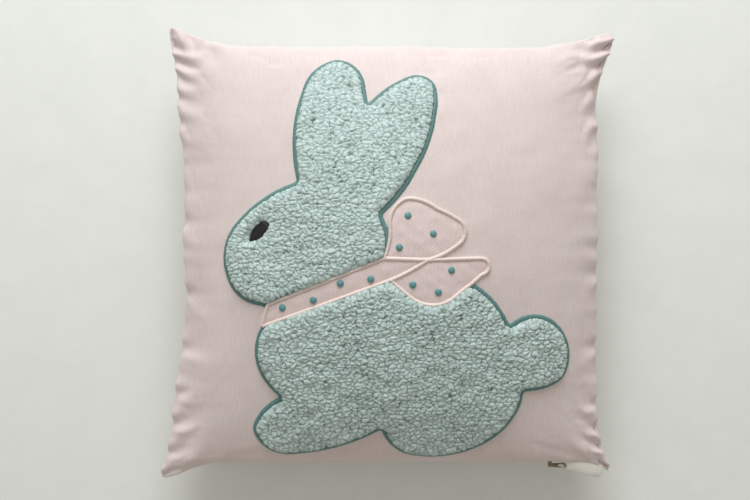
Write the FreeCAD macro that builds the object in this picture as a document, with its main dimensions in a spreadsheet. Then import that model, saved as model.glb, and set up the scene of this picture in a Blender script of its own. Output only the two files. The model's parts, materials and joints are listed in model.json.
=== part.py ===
import FreeCAD, Part
import math
import os
import Sketcher
from FreeCAD import Vector

# A square throw cushion with a rabbit applique, lying on its back.
# X runs along the zipped side, Y towards the ears, Z up through the filling.
# The origin is the middle of the patch that the cushion rests on.

os.makedirs("parts", exist_ok=True)
doc = FreeCAD.newDocument("rabbit_cushion")
sheet = doc.addObject("Spreadsheet::Sheet", "Sizes")

SIZES = [
    ("side_middle", 203.5, "middle of the cover to the middle of a side"),
    ("corner_flare", 17.5, "how much further out the corner tips stand"),
    ("seam_height", 56, "edge seam above the surface the cushion lies on"),
    ("front_rise", 66, "crown of the front above the seam"),
    ("back_drop", 74, "depth of the back below the seam if it hung free"),
    ("cover_cloth", 1.0, "thickness of the cover's cloth"),
    ("casing_cloth", 0.6, "thickness of the insert's casing"),
    ("casing_slack", 12, "how far the insert stops short of the corner tips"),
    ("ply_gap", 0.15, "air between stacked layers of cloth"),
    ("backing_thick", 0.5, "embroidery backing inside the front"),
    ("backing_width", 350, "embroidery backing along X"),
    ("backing_length", 400, "embroidery backing along Y"),
    ("backing_corner", 40, "corner radius of the embroidery backing"),
    ("motif_scale", 1.0, "size of the rabbit against its pattern"),
    ("pile_height", 7.2, "height of the fleece"),
    ("satin_width", 4.5, "width of the satin stitch round the fleece"),
    ("satin_height", 1.6, "height of the satin stitch"),
    ("ribbon_thick", 0.8, "thickness of the ribbon cloth"),
    ("cord_width", 4.0, "width of the corded edge of the ribbon"),
    ("cord_height", 2.2, "height of the corded edge of the ribbon"),
    ("dot_radius", 3.3, "radius of an embroidered dot"),
    ("dot_height", 1.1, "height of an embroidered dot"),
    ("eye_height", 3.2, "height of the eye's satin stitch"),
    ("eye_gap", 1.0, "clear ring between the eye and the fleece"),
    ("thread_thick", 0.6, "edge seam thread"),
    ("thread_inset", 2.0, "edge seam thread inside the cover's outside"),
    ("thread_tuck", 8, "how far the thread's corners stay inside the tips"),
    ("insert_gap", 1.2, "insert clear of the zip tape"),
    ("chain_half", 165, "half the length of the zip's chain"),
    ("slider_clear", 0.5, "slider clear of the tapes where the form is flattest"),
    ("chain_depth", 2.0, "coil from the outside in"),
    ("coil_width", 1.4, "one coil, along Z"),
    ("neck_thick", 1.0, "slider's neck between the coils"),
    ("neck_gap", 0.3, "running gap round the slider"),
    ("plate_thick", 0.8, "slider's plates"),
    ("slider_length", 9, "slider along the chain"),
    ("tape_thick", 0.5, "zip tape"),
    ("tape_reach", 14, "room for the zip tape up the inside of a panel"),
    ("tape_run", 10, "zip tape inwards from the middle of the side"),
    ("stop_length", 2.4, "zip stop along the chain"),
    ("seam_slit", 1.6, "opening between the lips of the zipped seam"),
    ("lug_stand", 4.5, "pull's pin beyond the middle of the side"),
    ("lug_length", 3.6, "slider's lug along the chain"),
    ("pin_radius", 0.8, "pull's pin"),
    ("pin_gap", 0.06, "running clearance of the pin in the lug"),
    ("pull_length", 16, "pull from its pin to its end"),
    ("pull_width", 5.0, "pull at its wide end"),
    ("pull_neck", 3.2, "pull at its pin"),
    ("pull_cheek", 0.6, "one cheek of the pull's fork"),
    ("label_place", 0.895, "middle of the label along the seam, 1 at the tip"),
    ("label_length", 34, "label along the seam"),
    ("label_width", 10, "label out from the seam"),
    ("label_thick", 0.9, "label's folded ribbon"),
    ("label_gap", 0.35, "label clear of the seam's lips"),
]
for row, (alias, value, meaning) in enumerate(SIZES, start=1):
    sheet.set(f"A{row}", meaning)
    sheet.set(f"B{row}", str(value))
    sheet.setAlias(f"B{row}", alias)
doc.recompute()

NODES = []
PATTERN_HEIGHT = 260.0   # tall enough to pass through any front
WORKSHOP = 900.0         # wider than any cover


def size(alias):
    return float(sheet.get(alias))


def node(piece, label):
    """Mark an object as a sub-part of the cushion."""
    piece.Label = label
    NODES.append(piece)
    return piece


def cut(name, base, tool):
    piece = doc.addObject("Part::Cut", name)
    piece.Base = base
    piece.Tool = tool
    return piece


def common(name, base, tool):
    piece = doc.addObject("Part::Common", name)
    piece.Base = base
    piece.Tool = tool
    return piece


def fuse(name, pieces):
    piece = doc.addObject("Part::MultiFuse", name)
    piece.Shapes = pieces
    return piece


def block(name, length, width, height, x, y, z):
    """A box whose sizes and corner are formulas over the sheet."""
    box = doc.addObject("Part::Box", name)
    box.setExpression("Length", length)
    box.setExpression("Width", width)
    box.setExpression("Height", height)
    box.setExpression("Placement.Base.x", x)
    box.setExpression("Placement.Base.y", y)
    box.setExpression("Placement.Base.z", z)
    return box


# ---- the filled form -------------------------------------------------------
# A filled square cover bulges in the middle, pulls in along its sides and
# keeps its corner tips. u and v run from -1 to 1 across the cover.

GRID = 15
FLARE_ALONG = 5
FLARE_ACROSS = 20
ROUNDNESS = 0.5          # 1 is an ellipse, 0 a parabola


def swell(u):
    drop = max(0.0, 1.0 - u * u)
    return ROUNDNESS * math.sqrt(drop) + (1 - ROUNDNESS) * drop


def seam_point(u, v, inset=0.0, tip_inset=0.0):
    middle = size("side_middle") - inset
    flare = size("corner_flare") - tip_inset
    x = middle * u + flare * u ** FLARE_ALONG * v ** FLARE_ACROSS
    y = middle * v + flare * v ** FLARE_ALONG * u ** FLARE_ACROSS
    return Vector(x, y, size("seam_height"))


def bulge(height, inset, tip_inset):
    """One half of the form as a clamped cubic B-spline sheet."""
    steps = [math.sin(math.pi * (i / (GRID - 1) - 0.5)) for i in range(GRID)]
    poles = []
    for u in steps:
        line = []
        for v in steps:
            lift = Vector(0, 0, height * swell(u) * swell(v))
            line.append(seam_point(u, v, inset, tip_inset) + lift)
        poles.append(line)
    spans = GRID - 3
    knots = [k / spans for k in range(spans + 1)]
    counts = [4] + [1] * (spans - 1) + [4]
    surface = Part.BSplineSurface()
    surface.buildFromPolesMultsKnots(
        poles, counts, counts, knots, knots, False, False, 3, 3)
    return surface.toShape()


def form(name, inset, tip_inset=0.0):
    """The filled form, `inset` millimetres inside the cover's outside."""
    front = bulge(size("front_rise") - inset, inset, tip_inset)
    back = bulge(inset - size("back_drop"), inset, tip_inset)
    shell = Part.makeShell([front, back])
    shell.sewShape()
    solid = Part.makeSolid(shell)
    if solid.Volume < 0:
        solid.reverse()
    half = WORKSHOP / 2
    above = Part.makeBox(WORKSHOP, WORKSHOP, WORKSHOP, Vector(-half, -half, max(inset, 0)))
    piece = doc.addObject("Part::Feature", name)
    piece.Shape = solid.common(above).Solids[0]
    return piece


gap = size("ply_gap")
cloth = size("cover_cloth")
backing_in = cloth + gap
backing_out = backing_in + size("backing_thick")
tape_out = backing_out + gap
tape_in = tape_out + size("tape_thick")
casing_out = tape_in + size("insert_gap")
casing_in = casing_out + size("casing_cloth")

cover_outside = form("cover_outside", 0.0)
cover_inside = form("cover_inside", cloth)
backing_outside = form("backing_outside", backing_in)
backing_inside = form("backing_inside", backing_out)
tape_outside = form("tape_outside", tape_out)
tape_inside = form("tape_inside", tape_in)
casing_outside = form("casing_outside", casing_out, size("casing_slack"))
casing_inside = form("casing_inside", casing_in, size("casing_slack"))
filling_outside = form("filling_outside", casing_in + gap, size("casing_slack"))

# ---- the zip's straight lines ---------------------------------------------
# The chain lies just inside the seam on the side at -Y, one coil above the
# seam plane and one below, with room between them for the slider's neck. It is
# as near the seam as the slider allows at the ends of its way, where the form
# is flattest.

half_neck = size("neck_thick") / 2
run = size("neck_gap")
coil_top = half_neck + run + size("coil_width")
web_top = coil_top + gap + size("tape_thick")
plate_in = size("chain_depth") / 2 + run
plate_out = plate_in + size("plate_thick")
flange_out = web_top + run + size("plate_thick")
shut_end = size("chain_half") - size("stop_length") - gap
CHAIN_STEPS = 24


def slider_fits(chain_inset):
    """Whether the slider's corners clear the tapes at the end of its way."""
    chain_y = chain_inset - size("side_middle")
    clear = size("slider_clear")
    for out, height in ((0, flange_out), (plate_out, coil_top - run)):
        for side in (1, -1):
            corner = Vector(
                shut_end, chain_y - out, size("seam_height") + side * (height + clear))
            if not tape_inside.Shape.isInside(corner, 0.001, True):
                return False
    return True


near_seam = tape_in + plate_out
far_in = size("side_middle") / 2
for step in range(CHAIN_STEPS):
    middle = (near_seam + far_in) / 2
    if slider_fits(middle):
        far_in = middle
    else:
        near_seam = middle
row = len(SIZES) + 1
sheet.set(f"A{row}", "worked out: middle of the chain behind the middle of the side")
sheet.set(f"B{row}", str(round(far_in, 2)))
sheet.setAlias(f"B{row}", "chain_inset")
doc.recompute()

CHAIN_Y = "(Sizes.chain_inset - Sizes.side_middle)"
OUTSIDE_Y = "-(Sizes.side_middle + Sizes.corner_flare)"
COIL_Z = "(Sizes.neck_thick / 2 + Sizes.neck_gap)"
WEB_Z = f"({COIL_Z} + Sizes.coil_width)"
PLATE_Y = "(Sizes.chain_depth / 2 + Sizes.neck_gap)"
SHUT_X = ("(Sizes.chain_half - Sizes.stop_length - Sizes.ply_gap"
          " - Sizes.slider_length / 2)")


def zip_space(name, grow):
    """The room that the insert leaves for the zip, `grow` larger inwards."""
    depth = f"{PLATE_Y} + Sizes.plate_thick + 2 * Sizes.neck_gap"
    reach = f"(Sizes.tape_reach + {WEB_Z} + 2 * Sizes.ply_gap + {grow})"
    return block(
        name,
        f"2 * (Sizes.chain_half + Sizes.neck_gap + {grow})",
        f"{depth} + Sizes.chain_inset + Sizes.corner_flare + {grow}",
        f"2 * {reach}",
        f"-(Sizes.chain_half + Sizes.neck_gap + {grow})",
        OUTSIDE_Y,
        f"Sizes.seam_height - {reach}")


# ---- insert -----------------------------------------------------------------

zip_room = zip_space("zip_room", "0")
room_behind_casing = zip_space("room_behind_casing", "Sizes.casing_cloth")
room_behind_gap = zip_space("room_behind_gap", "Sizes.casing_cloth + Sizes.ply_gap")
casing_body = cut("casing_body", casing_outside, zip_room)
casing_core = cut("casing_core", casing_inside, room_behind_casing)
node(cut("casing", casing_body, casing_core), "insert_casing")
node(cut("filling", filling_outside, room_behind_gap), "insert_filling")

# ---- cover panels -----------------------------------------------------------

above_seam = block(
    "above_seam", str(WORKSHOP), str(WORKSHOP), str(WORKSHOP),
    str(-WORKSHOP / 2), str(-WORKSHOP / 2), "Sizes.seam_height")
slit = block(
    "slit",
    f"{SHUT_X} + Sizes.chain_half + Sizes.lug_length / 2 + Sizes.neck_gap",
    "Sizes.corner_flare + Sizes.chain_inset",
    "Sizes.seam_slit",
    "-Sizes.chain_half",
    OUTSIDE_Y,
    "Sizes.seam_height - Sizes.seam_slit / 2")
cover_shell = cut("cover_shell", cover_outside, cover_inside)
cover_slit = cut("cover_slit", cover_shell, slit)
node(common("front", cover_slit, above_seam), "front_panel")
node(cut("back", cover_slit, above_seam), "back_panel")

# Thread of the edge seam: a line just inside the cover, all round but for the zip.


def seam_face(inset):
    """The flat area inside the seam, `inset` millimetres inside the cover."""
    rim = bulge(0.0, inset, size("thread_tuck"))
    return Part.Face(Part.Wire(Part.__sortEdges__(rim.Edges)))


thread_in = size("thread_inset") + size("thread_thick")
thread_path = doc.addObject("Part::Feature", "thread_path")
thread_path.Shape = seam_face(size("thread_inset")).cut(seam_face(thread_in))
thread_path.setExpression("Placement.Base.z", "-Sizes.thread_thick / 2")
thread_ring = doc.addObject("Part::Extrusion", "thread_ring")
thread_ring.Base = thread_path
thread_ring.Dir = Vector(0, 0, 1)
thread_ring.DirMode = "Custom"
thread_ring.Solid = True
thread_ring.setExpression("LengthFwd", "Sizes.thread_thick")
node(cut("seam_thread", thread_ring, zip_room), "edge_seam_thread")

# ---- pattern pieces ---------------------------------------------------------
# Each outline starts at a point; a stretch of one point is a straight line and
# a stretch of two is an arc through the first point to the second.

HEAD = [(-110, -56), [(-118, -49)], [(-140, -41.5), (-153, -22)],
        [(-155.5, 4), (-142, 30)], [(-119, 50), (-85, 66)],
        [(-90, 108), (-81.5, 154)], [(-70, 175), (-49, 185)],
        [(-33, 178), (-23, 158)], [(-20, 139)], [(0, 157), (17, 166.5)],
        [(32, 168), (43, 160)], [(45.6, 146), (44, 131)],
        [(36, 99), (25, 76.5)], [(8, 50.5), (-7.5, 35)],
        [(-0.5, 16), (-4, -10)]]
BODY = [(-112, -62), [(-120, -70)], [(-126, -93), (-118, -119)],
        [(-111, -128), (-102, -136)], [(-120, -149), (-130, -167)],
        [(-119, -186), (-96, -194)], [(-50, -186), (-7, -167)],
        [(5, -186), (25.5, -195)], [(54, -195.5), (83, -187)],
        [(112, -166), (126, -141)], [(127, -131)], [(143, -130), (156, -126)],
        [(166, -119), (171, -109)], [(171, -87), (157, -65.5)],
        [(135, -58), (112, -68)], [(99.5, -47), (79, -29)], [(42, -22)],
        [(0, -16)]]
LOOP = [(-5, -5), [(-0.5, 8), (0.3, 28)], [(4.5, 41), (16, 50)],
        [(30, 48), (43, 41)], [(55, 35.5), (66, 29)], [(70, 18), (62.5, 7)],
        [(50, -1), (35, -6.5)]]
TAIL = [(1, -25), [(19, -16.5), (35, -6.5)], [(86, -5)], [(92, -10), (85, -20)],
        [(75, -29), (64, -37)], [(43, -48), (21, -42)], [(10, -33), (1, -25)]]
BAND = [(-113, -48), [(-5, -5)], [(35, -6.5)], [(19, -16.5), (1, -25)],
        [(-119, -69)]]
EYE = [(-130.7, 9.5), [(-127.5, 21), (-120, 28.5)], [(-113, 29), (-111, 22)],
       [(-118.5, 12.8)]]
DOTS = [(17, 34), (40, 17.5), (9, 5), (57, -16), (21.5, -29), (45, -36),
        (-99, -51), (-70, -43.5), (-45, -28), (-17, -24)]


def flat(point):
    scale = size("motif_scale")
    return Vector(point[0] * scale, point[1] * scale, 0)


def pattern(name, outline):
    """A closed pattern piece as a sketch above the seam plane."""
    sketch = doc.addObject("Sketcher::SketchObject", name)
    here = flat(outline[0])
    stretches = list(outline[1:])
    if stretches[-1][-1] != outline[0]:
        stretches.append([outline[0]])
    for stretch in stretches:
        there = flat(stretch[-1])
        if len(stretch) == 1:
            sketch.addGeometry(Part.LineSegment(here, there), False)
        else:
            sketch.addGeometry(Part.Arc(here, flat(stretch[0]), there), False)
        here = there
    sketch.setExpression("Placement.Base.z", "Sizes.seam_height + Sizes.ply_gap")
    return sketch


def upright(name, flat_piece):
    """A pattern piece pulled up through the front."""
    prism = doc.addObject("Part::Extrusion", name)
    prism.Base = flat_piece
    prism.Dir = Vector(0, 0, 1)
    prism.DirMode = "Custom"
    prism.LengthFwd = PATTERN_HEIGHT
    prism.Solid = True
    return prism


def widened(name, sketch, grow):
    """The same outline moved out (or in, when negative), pulled upright."""
    sketch.recompute()
    edge = doc.addObject("Part::Feature", name)
    edge.Shape = sketch.Shape.Wires[0].makeOffset2D(grow)
    return upright(name + "_prism", edge)


def laid(name, prism, low, high):
    """The layer between two heights over the cover, inside a prism."""
    top = common(name + "_top", high, prism)
    return cut(name, top, low)


on_cover = form("on_cover", -gap)
pile_top = form("pile_top", -gap - size("pile_height"))
satin_top = form("satin_top", -gap - size("satin_height"))
ribbon_top = form("ribbon_top", -gap - size("ribbon_thick"))
cord_top = form("cord_top", -gap - size("cord_height"))
dot_base = form("dot_base", -2 * gap - size("ribbon_thick"))
dot_top = form("dot_top", -2 * gap - size("ribbon_thick") - size("dot_height"))
eye_top = form("eye_top", -gap - size("eye_height"))

# Embroidery backing, a rounded rectangle of thin nonwoven inside the front.
backing_plane = doc.addObject("Part::Plane", "backing_plane")
backing_plane.setExpression("Length", "Sizes.backing_width")
backing_plane.setExpression("Width", "Sizes.backing_length")
backing_plane.setExpression("Placement.Base.x", "-Sizes.backing_width / 2")
backing_plane.setExpression("Placement.Base.y", "-Sizes.backing_length / 2")
backing_plane.setExpression("Placement.Base.z", "Sizes.seam_height + Sizes.ply_gap")
backing_block = upright("backing_block", backing_plane)
doc.recompute()
backing_round = doc.addObject("Part::Fillet", "backing_round")
backing_round.Base = backing_block
uprights = []
for index, edge in enumerate(backing_block.Shape.Edges, start=1):
    if abs(edge.tangentAt(edge.FirstParameter).z) > 0.5:
        uprights.append((index, size("backing_corner"), size("backing_corner")))
backing_round.Edges = uprights
node(laid("backing", backing_round, backing_inside, backing_outside), "applique_backing")

# Ribbon: the corded edge takes the outlines, the cloth fills them.
ribbon_sketches = {
    "neck_band": pattern("band_outline", BAND),
    "bow_loop": pattern("loop_outline", LOOP),
    "bow_tail": pattern("tail_outline", TAIL),
}
half_cord = size("cord_width") / 2
rooms = []
cord_outers = []
cord_inners = []
for label, sketch in ribbon_sketches.items():
    rooms.append(widened(label + "_room", sketch, half_cord + gap))
    cord_outers.append(widened(label + "_outer", sketch, half_cord))
    cord_inners.append(widened(label + "_inner", sketch, -half_cord))
    cloth_piece = widened(label + "_cloth", sketch, -half_cord - gap)
    node(laid(label + "_laid", cloth_piece, on_cover, ribbon_top), label)
ribbon_room = fuse("ribbon_room", rooms)
cord_area = fuse("cord_area", cord_outers)
cord_holes = fuse("cord_holes", cord_inners)
cord_prism = cut("cord_prism", cord_area, cord_holes)
node(laid("cord", cord_prism, on_cover, cord_top), "ribbon_cord")

# Fleece and its satin edge, for the head and for the body.
eye_sketch = pattern("eye_outline", EYE)
eye_pocket = widened("eye_pocket", eye_sketch, size("eye_gap"))
for label, outline in (("head", HEAD), ("body", BODY)):
    sketch = pattern(label + "_outline_sketch", outline)
    whole = upright(label + "_whole", sketch)
    inner = widened(label + "_inner_edge", sketch, -size("satin_width"))
    ring = cut(label + "_ring", whole, inner)
    satin = laid(label + "_satin", ring, on_cover, satin_top)
    node(cut(label + "_satin_trimmed", satin, ribbon_room), label + "_outline")
    fleece_area = widened(label + "_fleece_area", sketch, -size("satin_width") - gap)
    fleece = laid(label + "_fleece", fleece_area, on_cover, pile_top)
    fleece = cut(label + "_fleece_trimmed", fleece, ribbon_room)
    if label == "head":
        fleece = cut("head_fleece_pocket", fleece, eye_pocket)
    node(fleece, label + "_applique")

node(laid("eye_stitch", upright("eye_prism", eye_sketch), on_cover, eye_top), "eye")

# Dots on the ribbon.
dot_sketch = doc.addObject("Sketcher::SketchObject", "dot_outlines")
for point in DOTS:
    ring = Part.Circle(flat(point), Vector(0, 0, 1), size("dot_radius"))
    index = dot_sketch.addGeometry(ring, False)
    radius = dot_sketch.addConstraint(
        Sketcher.Constraint("Radius", index, size("dot_radius")))
    dot_sketch.setExpression(f"Constraints[{radius}]", "Sizes.dot_radius")
dot_sketch.setExpression("Placement.Base.z", "Sizes.seam_height + Sizes.ply_gap")
node(laid("dots", upright("dot_prism", dot_sketch), dot_base, dot_top), "ribbon_dots")

# ---- zip --------------------------------------------------------------------
# Each tape follows its panel inwards and carries a coil on a level web.

tape_ply = cut("tape_ply", tape_outside, tape_inside)
for label, up in (("front", 1), ("back", -1)):
    near = f"({WEB_Z} + Sizes.ply_gap)"
    web_z = near if up > 0 else f"-({near} + Sizes.tape_thick)"
    web = block(
        f"web_{label}", "2 * Sizes.chain_half",
        "Sizes.corner_flare + Sizes.chain_inset + Sizes.chain_depth / 2",
        "Sizes.tape_thick", "-Sizes.chain_half", OUTSIDE_Y,
        f"Sizes.seam_height + {web_z}")
    strip_z = near if up > 0 else f"-({near} + Sizes.tape_reach)"
    strip = block(
        f"strip_{label}", "2 * Sizes.chain_half",
        "Sizes.corner_flare + Sizes.tape_run", "Sizes.tape_reach",
        "-Sizes.chain_half", OUTSIDE_Y,
        f"Sizes.seam_height + {strip_z}")
    curved = common(f"tape_curve_{label}", tape_ply, strip)
    level = common(f"tape_web_{label}", tape_outside, web)
    node(fuse(f"tape_{label}", [curved, level]), f"zip_tape_{label}")
    coil_z = COIL_Z if up > 0 else f"-({COIL_Z} + Sizes.coil_width)"
    coil = block(
        f"coil_{label}",
        "2 * (Sizes.chain_half - Sizes.stop_length - Sizes.ply_gap)",
        "Sizes.chain_depth", "Sizes.coil_width",
        "-Sizes.chain_half + Sizes.stop_length + Sizes.ply_gap",
        f"{CHAIN_Y} - Sizes.chain_depth / 2",
        f"Sizes.seam_height + {coil_z}")
    node(coil, f"zip_coil_{label}")

stops = []
for label, place in (("open", "-Sizes.chain_half"),
                     ("shut", "Sizes.chain_half - Sizes.stop_length")):
    stops.append(block(
        f"stop_{label}", "Sizes.stop_length", "Sizes.chain_depth", f"2 * {WEB_Z}",
        place, f"{CHAIN_Y} - Sizes.chain_depth / 2",
        f"Sizes.seam_height - {WEB_Z}"))
node(fuse("stops", stops), "zip_stops")


def sketch_on(body, name, plane_role):
    """An empty sketch on one of the body's own origin planes."""
    sketch = body.newObject("Sketcher::SketchObject", name)
    planes = body.Origin.OriginFeatures
    sketch.AttachmentSupport = [p for p in planes if p.Role == plane_role]
    sketch.MapMode = "FlatFace"
    return sketch


def polygon(sketch, corners):
    for here, there in zip(corners, corners[1:] + corners[:1]):
        start = Vector(here[0], here[1], 0)
        sketch.addGeometry(Part.LineSegment(start, Vector(there[0], there[1], 0)), False)


def circle(sketch, y, radius, formula):
    """A circle on the sketch's Y axis whose radius is a formula."""
    index = sketch.addGeometry(
        Part.Circle(Vector(0, y, 0), Vector(0, 0, 1), radius), False)
    rule = sketch.addConstraint(Sketcher.Constraint("Radius", index, radius))
    sketch.setExpression(f"Constraints[{rule}]", formula)


def midplane_pad(body, name, sketch, formula, kind="PartDesign::Pad"):
    feature = body.newObject(kind, name)
    feature.Profile = sketch
    feature.Midplane = True
    feature.setExpression("Length", formula)
    return feature


# Slider: plates, neck and flanges as one section pushed along the chain, with
# a lug on the outer plate that comes out between the lips of the seam.
quarter = [
    (plate_out, coil_top - run), (plate_in, coil_top - run), (plate_in, half_neck),
    (-plate_in, half_neck), (-plate_in, web_top + run), (0, web_top + run),
    (0, flange_out), (-plate_out, flange_out)]
section = quarter + [(out, -z) for out, z in reversed(quarter)]
slider = doc.addObject("PartDesign::Body", "slider")
slider_section = sketch_on(slider, "slider_section", "YZ_Plane")
polygon(slider_section, [(-out, z) for out, z in section])
midplane_pad(slider, "slider_pad", slider_section, "Sizes.slider_length")

pin_out = size("chain_inset") + size("lug_stand")
lug_half = size("lug_length") / 2
lug_outline = sketch_on(slider, "lug_outline", "XY_Plane")
lug_corners = [
    Vector(-lug_half, -pin_out, 0), Vector(-lug_half, -plate_in, 0),
    Vector(lug_half, -plate_in, 0), Vector(lug_half, -pin_out, 0)]
for here, there in zip(lug_corners, lug_corners[1:]):
    lug_outline.addGeometry(Part.LineSegment(here, there), False)
lug_outline.addGeometry(Part.Arc(
    lug_corners[3], Vector(0, -pin_out - lug_half, 0), lug_corners[0]), False)
midplane_pad(slider, "lug_pad", lug_outline, "Sizes.neck_thick")
bore_outline = sketch_on(slider, "bore_outline", "XY_Plane")
circle(bore_outline, -pin_out, size("pin_radius") + size("pin_gap"),
       "Sizes.pin_radius + Sizes.pin_gap")
midplane_pad(slider, "lug_bore", bore_outline, "2 * Sizes.neck_thick",
             "PartDesign::Pocket")
slider.setExpression("Placement.Base.x", SHUT_X)
slider.setExpression("Placement.Base.y", CHAIN_Y)
slider.setExpression("Placement.Base.z", "Sizes.seam_height")
node(slider, "zip_slider")

# Pull: a teardrop with a slot for the lug and a pin across the slot. At rest
# it lies along the seam, towards the label.
neck_half = size("pull_neck") / 2
wide_half = size("pull_width") / 2
shoulder = size("pull_length") - wide_half
pull = doc.addObject("PartDesign::Body", "pull")
teardrop = sketch_on(pull, "teardrop", "XY_Plane")
near_low = Vector(0, -neck_half, 0)
near_high = Vector(0, neck_half, 0)
far_low = Vector(shoulder, -wide_half, 0)
far_high = Vector(shoulder, wide_half, 0)
teardrop.addGeometry(Part.Arc(near_high, Vector(-neck_half, 0, 0), near_low), False)
teardrop.addGeometry(Part.LineSegment(near_low, far_low), False)
teardrop.addGeometry(Part.Arc(
    far_low, Vector(size("pull_length"), 0, 0), far_high), False)
teardrop.addGeometry(Part.LineSegment(far_high, near_high), False)
PULL_THICK = "Sizes.neck_thick + Sizes.neck_gap + 2 * Sizes.pull_cheek"
midplane_pad(pull, "pull_pad", teardrop, PULL_THICK)
slot_outline = sketch_on(pull, "slot_outline", "XY_Plane")
circle(slot_outline, 0, lug_half * math.sqrt(2) + run,
       "Sizes.lug_length / sqrt(2) + Sizes.neck_gap")
midplane_pad(pull, "lug_slot", slot_outline, "Sizes.neck_thick + Sizes.neck_gap",
             "PartDesign::Pocket")
pin_outline = sketch_on(pull, "pin_outline", "XY_Plane")
circle(pin_outline, 0, size("pin_radius"), "Sizes.pin_radius")
midplane_pad(pull, "pin", pin_outline, PULL_THICK)
pull.setExpression("Placement.Base.x", SHUT_X)
pull.setExpression("Placement.Base.y", "-Sizes.side_middle - Sizes.lug_stand")
pull.setExpression("Placement.Base.z", "Sizes.seam_height")
node(pull, "zip_pull")

# ---- label ------------------------------------------------------------------
# A folded ribbon against the seam, square to the line between its own ends.

label = doc.addObject("PartDesign::Body", "label")
label_half = size("label_length") / 2
label_outline = sketch_on(label, "label_outline", "XY_Plane")
polygon(label_outline, [
    (-label_half, 0), (label_half, 0),
    (label_half, -size("label_width")), (-label_half, -size("label_width"))])
midplane_pad(label, "label_pad", label_outline, "Sizes.label_thick")
SEAM_SAMPLES = 2000
share = label_half / size("side_middle")
seam_near = seam_point(size("label_place") - share, -1)
seam_far = seam_point(size("label_place") + share, -1)
along = (seam_far - seam_near).normalize()
outwards = Vector(along.y, -along.x, 0)
label_turn = math.degrees(math.atan2(along.y, along.x))
between = (seam_near + seam_far) * 0.5
stand = 0.0
for seam_edge in bulge(0.0, 0.0, 0.0).Edges:
    for point in seam_edge.discretize(SEAM_SAMPLES):
        if abs((point - between).dot(along)) <= label_half:
            stand = max(stand, (point - between).dot(outwards))
label_base = between + outwards * (stand + size("label_gap"))
print("label stands", stand, "beyond the line between its ends")
label.Placement = FreeCAD.Placement(
    label_base, FreeCAD.Rotation(Vector(0, 0, 1), label_turn))
node(label, "label")

# ---- check and write --------------------------------------------------------

doc.recompute()
for piece in doc.Objects:
    broken = {"Invalid", "Error"} & set(piece.State)
    if broken:
        raise RuntimeError(f"{piece.Label}: {piece.getStatusString()}")
for piece in NODES:
    shape = piece.Shape
    if shape.isNull() or not shape.isValid() or not shape.Solids:
        raise RuntimeError(f"{piece.Label} has no sound solid")
    shape.exportStep(f"parts/{piece.Label}.step")
    points = shape.tessellate(0.5)[0]
    lows = [min(getattr(p, axis) for p in points) for axis in "xyz"]
    highs = [max(getattr(p, axis) for p in points) for axis in "xyz"]
    extents = "  ".join(f"{low:7.1f} {high:7.1f}" for low, high in zip(lows, highs))
    print(f"{piece.Label:18s} {len(shape.Solids):3d} solids "
          f"{shape.Volume / 1000:10.2f} cm3  {extents}")
print("label hinge", label_base, "along", along)
print("chain inset", size("chain_inset"))
print("pull pin", pull.Placement.Base, "slider travel", 2 * slider.Placement.Base.x)
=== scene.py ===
# %% [markdown]
# # A square cushion with a rabbit on its front
# The cushion lies on its back, X along its zipped side and Y towards the rabbit's ears. Everything is
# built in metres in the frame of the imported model, so a piece goes where the joints expect it.
# Lengths in this file are written in millimetres, as on a pattern, and turned into metres at the end.

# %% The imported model
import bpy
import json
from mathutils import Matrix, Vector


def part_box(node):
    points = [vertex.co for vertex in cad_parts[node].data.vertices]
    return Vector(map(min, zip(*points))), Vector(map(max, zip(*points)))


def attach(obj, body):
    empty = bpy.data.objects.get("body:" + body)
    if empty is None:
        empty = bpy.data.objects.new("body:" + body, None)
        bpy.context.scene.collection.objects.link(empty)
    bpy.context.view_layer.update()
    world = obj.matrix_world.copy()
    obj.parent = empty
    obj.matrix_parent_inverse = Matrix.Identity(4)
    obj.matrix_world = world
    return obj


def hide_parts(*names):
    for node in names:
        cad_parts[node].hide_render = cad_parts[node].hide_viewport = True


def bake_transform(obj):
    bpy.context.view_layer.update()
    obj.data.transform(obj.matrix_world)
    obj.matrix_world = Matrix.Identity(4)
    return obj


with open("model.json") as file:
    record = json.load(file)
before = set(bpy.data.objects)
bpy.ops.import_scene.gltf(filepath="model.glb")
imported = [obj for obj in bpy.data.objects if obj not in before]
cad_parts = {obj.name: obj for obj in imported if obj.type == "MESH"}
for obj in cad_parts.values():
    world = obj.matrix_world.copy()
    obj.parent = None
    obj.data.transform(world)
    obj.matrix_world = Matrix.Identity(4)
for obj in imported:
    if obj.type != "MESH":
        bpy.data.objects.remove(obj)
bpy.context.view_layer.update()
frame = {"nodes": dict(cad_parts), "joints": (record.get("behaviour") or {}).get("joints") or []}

import json
import math
import bpy
import numpy as np
from mathutils import Vector
from mathutils.bvhtree import BVHTree

MM = 0.001
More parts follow.
